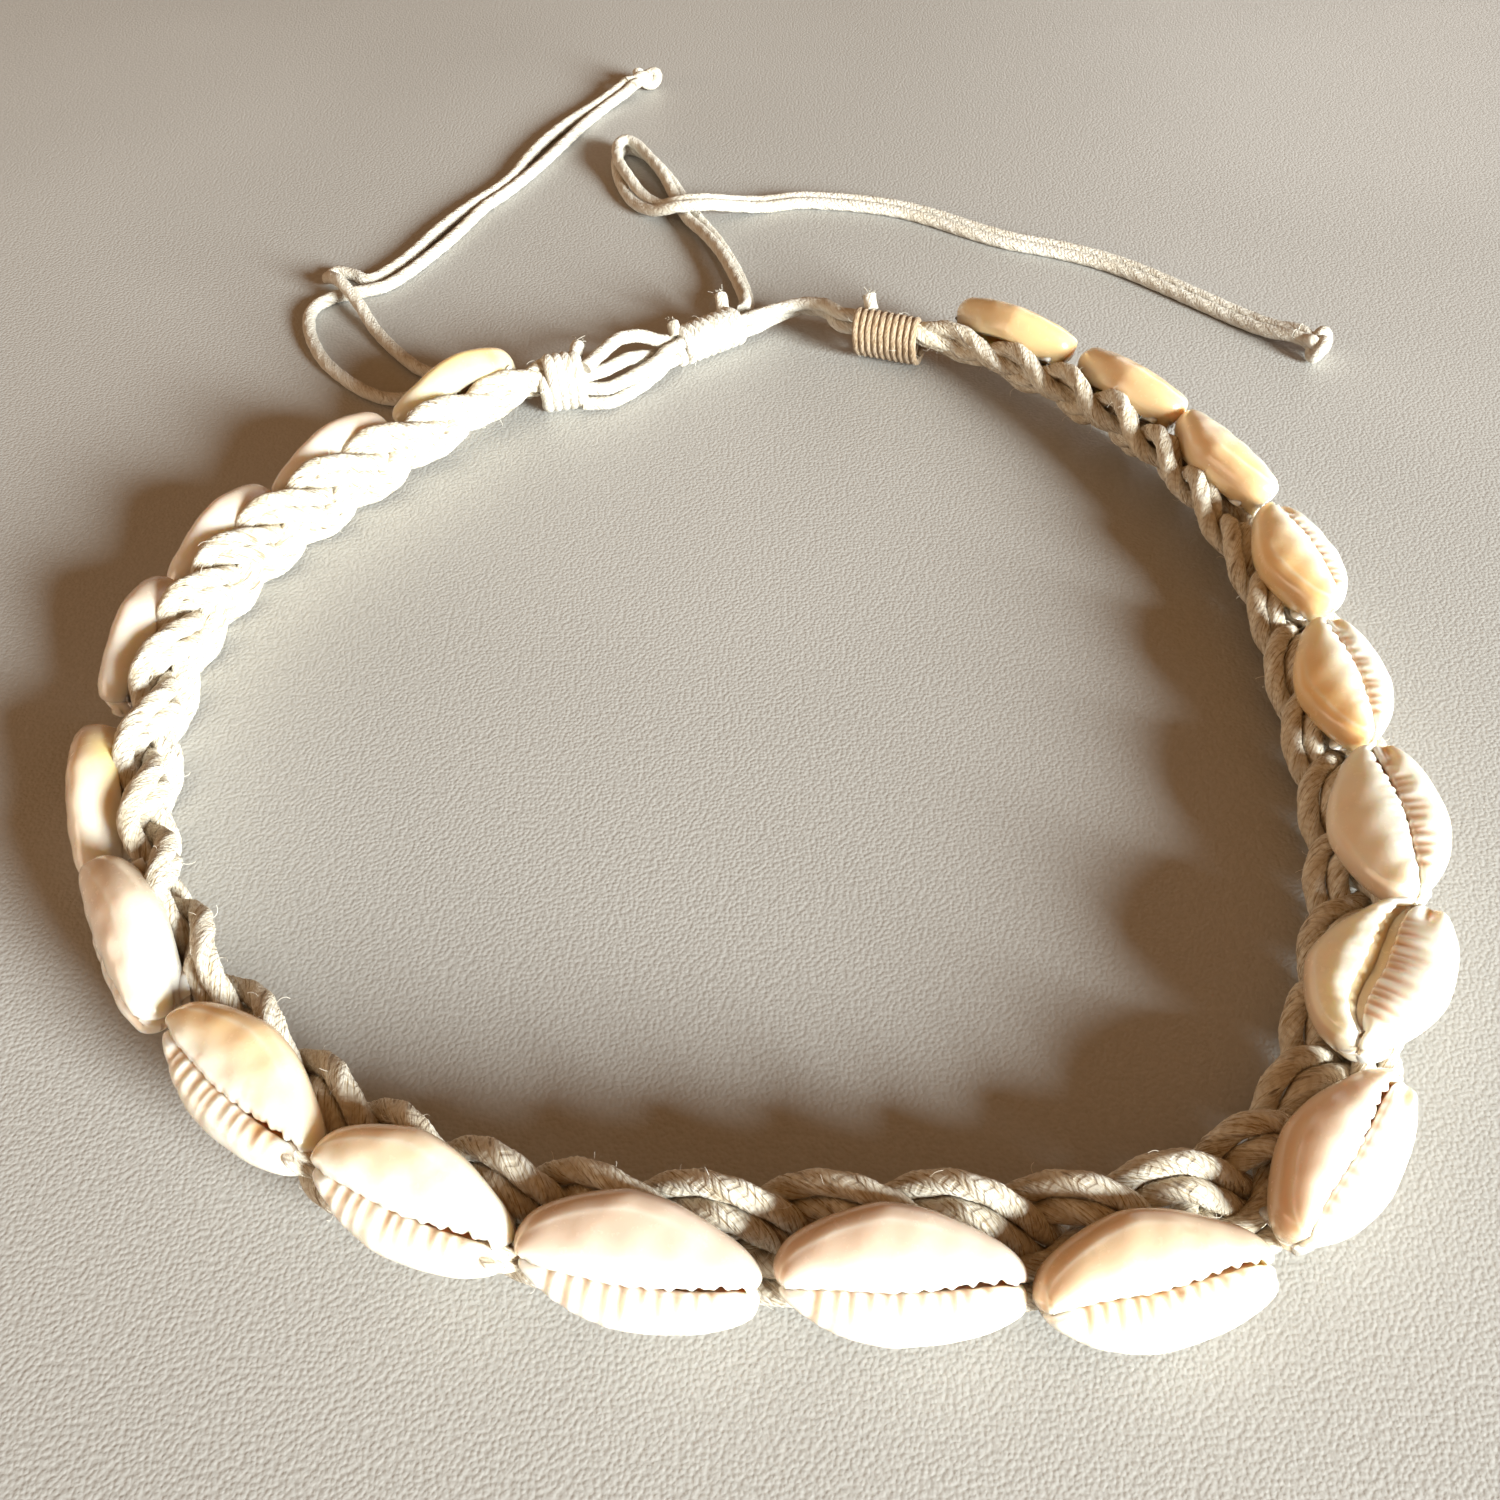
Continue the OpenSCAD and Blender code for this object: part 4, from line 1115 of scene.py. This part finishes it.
def glazeMaterial(s):
    material, tree, shader = newMaterial("cowrie glaze")
    x, lip, groove = split(tree, attribute(tree, "lip"))
    canal, crease, inside = split(tree, attribute(tree, "mark"))
    peachAndShade, amber, brown = split(tree, attribute(tree, "tint"))
    brownStain, yellowStain, _ = split(tree, attribute(tree, "stain"))
    own = attribute(tree, "own")
    cloud, fine, blotch = (noise(tree, own, *s[k]) for k in ("cloud", "fine", "blotch"))

    def mask(value, name):
        return between(tree, value, *s[name])

    # peach on the upper lip towards its outer edge, more so away from the beak: partly the shell's own peach
    # tone and partly painted shade
    shade = mask(calc(tree, "ADD", lip, times(tree, cloud, s["peachCloud"])), "peachLip")
    shade = times(tree, shade, mask(x, "peachAlong"), mask(peachAndShade, "peachShare"))
    layers = [
        # where it lies, then its colour
        (shade, mixColour(tree, amber, s["peachAndShade"], s["amber"])),
        # painted shade on the upper lip, for shells whose peach is over 1
        (times(tree, mask(peachAndShade, "upperShadeShare"), mask(lip, "upperShadeLip")), s["deep"]),
        (times(tree, mask(lip, "rimLip"), mask(x, "rimAlong"), s["rimShare"]), s["rim"]),
        (times(tree, mask(lip, "lowRimLip"), s["lowRimShare"]), s["lowRim"]),
        # painted shade in the rib grooves and notches, warmer on amber shells
        (times(tree, mask(groove, "groove"), s["grooveShare"]), s["grooveShade"]),
        (times(tree, mask(groove, "warm"), times(tree, amber, s["warmShare"])), s["warmGrooveShade"]),
        # the beak canal: partly its own peach tone and partly painted shade in the hollow
        (times(tree, canal, s["canalShare"]), s["canalTone"]),
        (times(tree, mask(blotch, "blotchFrom"), brown, s["blotchShare"]), s["blotchTone"]),
        (times(tree, crease, s["creaseShare"]), s["creaseTone"]),
        (times(tree, brownStain, s["stainShare"]), s["brownStain"]),
        (times(tree, yellowStain, s["stainShare"]), s["yellowStain"]),
        # inside the slit and the open back: painted shade, turning to the aperture's own orange on amber
        # shells
        (inside, mixColour(tree, amber, s["insideShade"], s["withinAmber"]))
    ]
    pink, cream = ramp(tree, cloud, s["pink"]), ramp(tree, cloud, s["cream"])
    colour = mixColour(tree, mask(amber, "creamFrom"), pink, cream)
    for share, tone in layers:
        colour = mixColour(tree, share, colour, tone)
    rough = calc(tree, "ADD", times(tree, fine, s["rough"][0]), s["rough"][1])
    height = calc(tree, "ADD", times(tree, cloud, s["cloudHigh"]), times(tree, fine, s["fineHigh"]))
    normal = bump(tree, height, *s["bump"])
    setSockets(tree, shader, {"Base Color": colour, "Roughness": rough, "Normal": normal, **s["shader"]})
    return material


shellGlaze = glazeMaterial(glazeSet)
for i, shell in enumerate(shells):
    makeShell(i, shell, lookTable[i], shellSet, markSet)
note("shells")


# Floor and light

floorSet = {
    "grain": (1500, 2, 0.45), "small": (4200, 2, 0.5), "broad": (14, 2, 0.5), "smallHigh": 0.8,
    "cells": {"Scale": 2500, "Smoothness": 0.6}, "pebble": (0.75, 0.1), "speckFrom": (0.35, 0.68, 0.0, 0.25),
    "tones": [(0.35, (0.40, 0.385, 0.365)), (0.65, (0.43, 0.415, 0.395))], "speck": (0.52, 0.505, 0.485),
    "rough": (0.3, 0.7, 0.5, 0.38), "bump": (0.000031, 0.85), "half": 1.5
}


def makeFloor(s):
    material, tree, shader = newMaterial("table")
    place = addNode(tree, "ShaderNodeTexCoord").outputs["Object"]
    grain, small, broad = (noise(tree, place, *s[k], flat=True) for k in ("grain", "small", "broad"))
    settings = {"feature": "SMOOTH_F1", "voronoi_dimensions": "2D"}
    cells = addNode(tree, "ShaderNodeTexVoronoi", {"Vector": place, **s["cells"]}, settings)
    speck = between(tree, grain, *s["speckFrom"])
    colour = mixColour(tree, speck, ramp(tree, broad, s["tones"]), s["speck"])
    pebble = between(tree, cells.outputs["Distance"], *s["pebble"])
    height = calc(tree, "ADD", pebble, times(tree, small, s["smallHigh"]))
    normal = bump(tree, height, *s["bump"])
    rough = between(tree, grain, *s["rough"])
    setSockets(tree, shader, {"Base Color": colour, "Roughness": rough, "Normal": normal})
    half = s["half"]
    corners = [(-half, -half, 0), (half, -half, 0), (half, half, 0), (-half, half, 0)]
    meshObject("floor", corners, [(0, 1, 2, 3)], material)


lightTable = [
    # name, place and target in metres, size, power, colour
    ("key", (1.08, -0.95, 0.45), (0.0, 0.0, 0.0), 0.54, 84.5, (0.92, 1.0, 0.985)),
    ("left", (-1.1, -0.35, 0.16), (0.0, 0.0, 0.0), 0.7, 5.0, (1.0, 0.80, 0.60)),
    ("far", (0.7, 1.6, 0.45), (0.1, 0.2, 0.0), 0.9, 2.4, (1.0, 0.97, 0.95))
]
roomSet = {"glow": (1.0, 0.50, 0.18), "strength": 0.26, "seen": (0.44, 0.42, 0.40)}


def areaLight(name, place, target, size, power, colour):
    data = bpy.data.lights.new(name, "AREA")
    data.shape = "DISK"
    data.size = size
    data.energy = power
    data.color = colour
    light = linkObject(name, data)
    light.location = place
    look = [t - p for t, p in zip(target, place)]
    yaw = math.atan2(look[1], look[0])
    light.rotation_euler = (math.atan2(math.hypot(look[0], look[1]), -look[2]), 0, yaw - math.pi / 2)


def makeRoom(s):
    # the room's glow, and the plain colour that the camera sees past the table
    world = bpy.data.worlds.new("room")
    bpy.context.scene.world = world
    world.use_nodes = True
    tree = world.node_tree
    glow = tree.nodes["Background"]
    setSockets(tree, glow, {"Color": s["glow"], "Strength": s["strength"]})
    wall = addNode(tree, "ShaderNodeBackground", {"Color": s["seen"]})
    seen = addNode(tree, "ShaderNodeLightPath").outputs["Is Camera Ray"]
    values = {"Fac": seen, 1: glow.outputs["Background"], 2: wall.outputs["Background"]}
    mixed = addNode(tree, "ShaderNodeMixShader", values).outputs["Shader"]
    setSockets(tree, tree.nodes["World Output"], {"Surface": mixed})


makeFloor(floorSet)
for light in lightTable:
    areaLight(*light)
makeRoom(roomSet)
bpy.context.scene.view_settings.view_transform = "Standard"
note("floor and light")
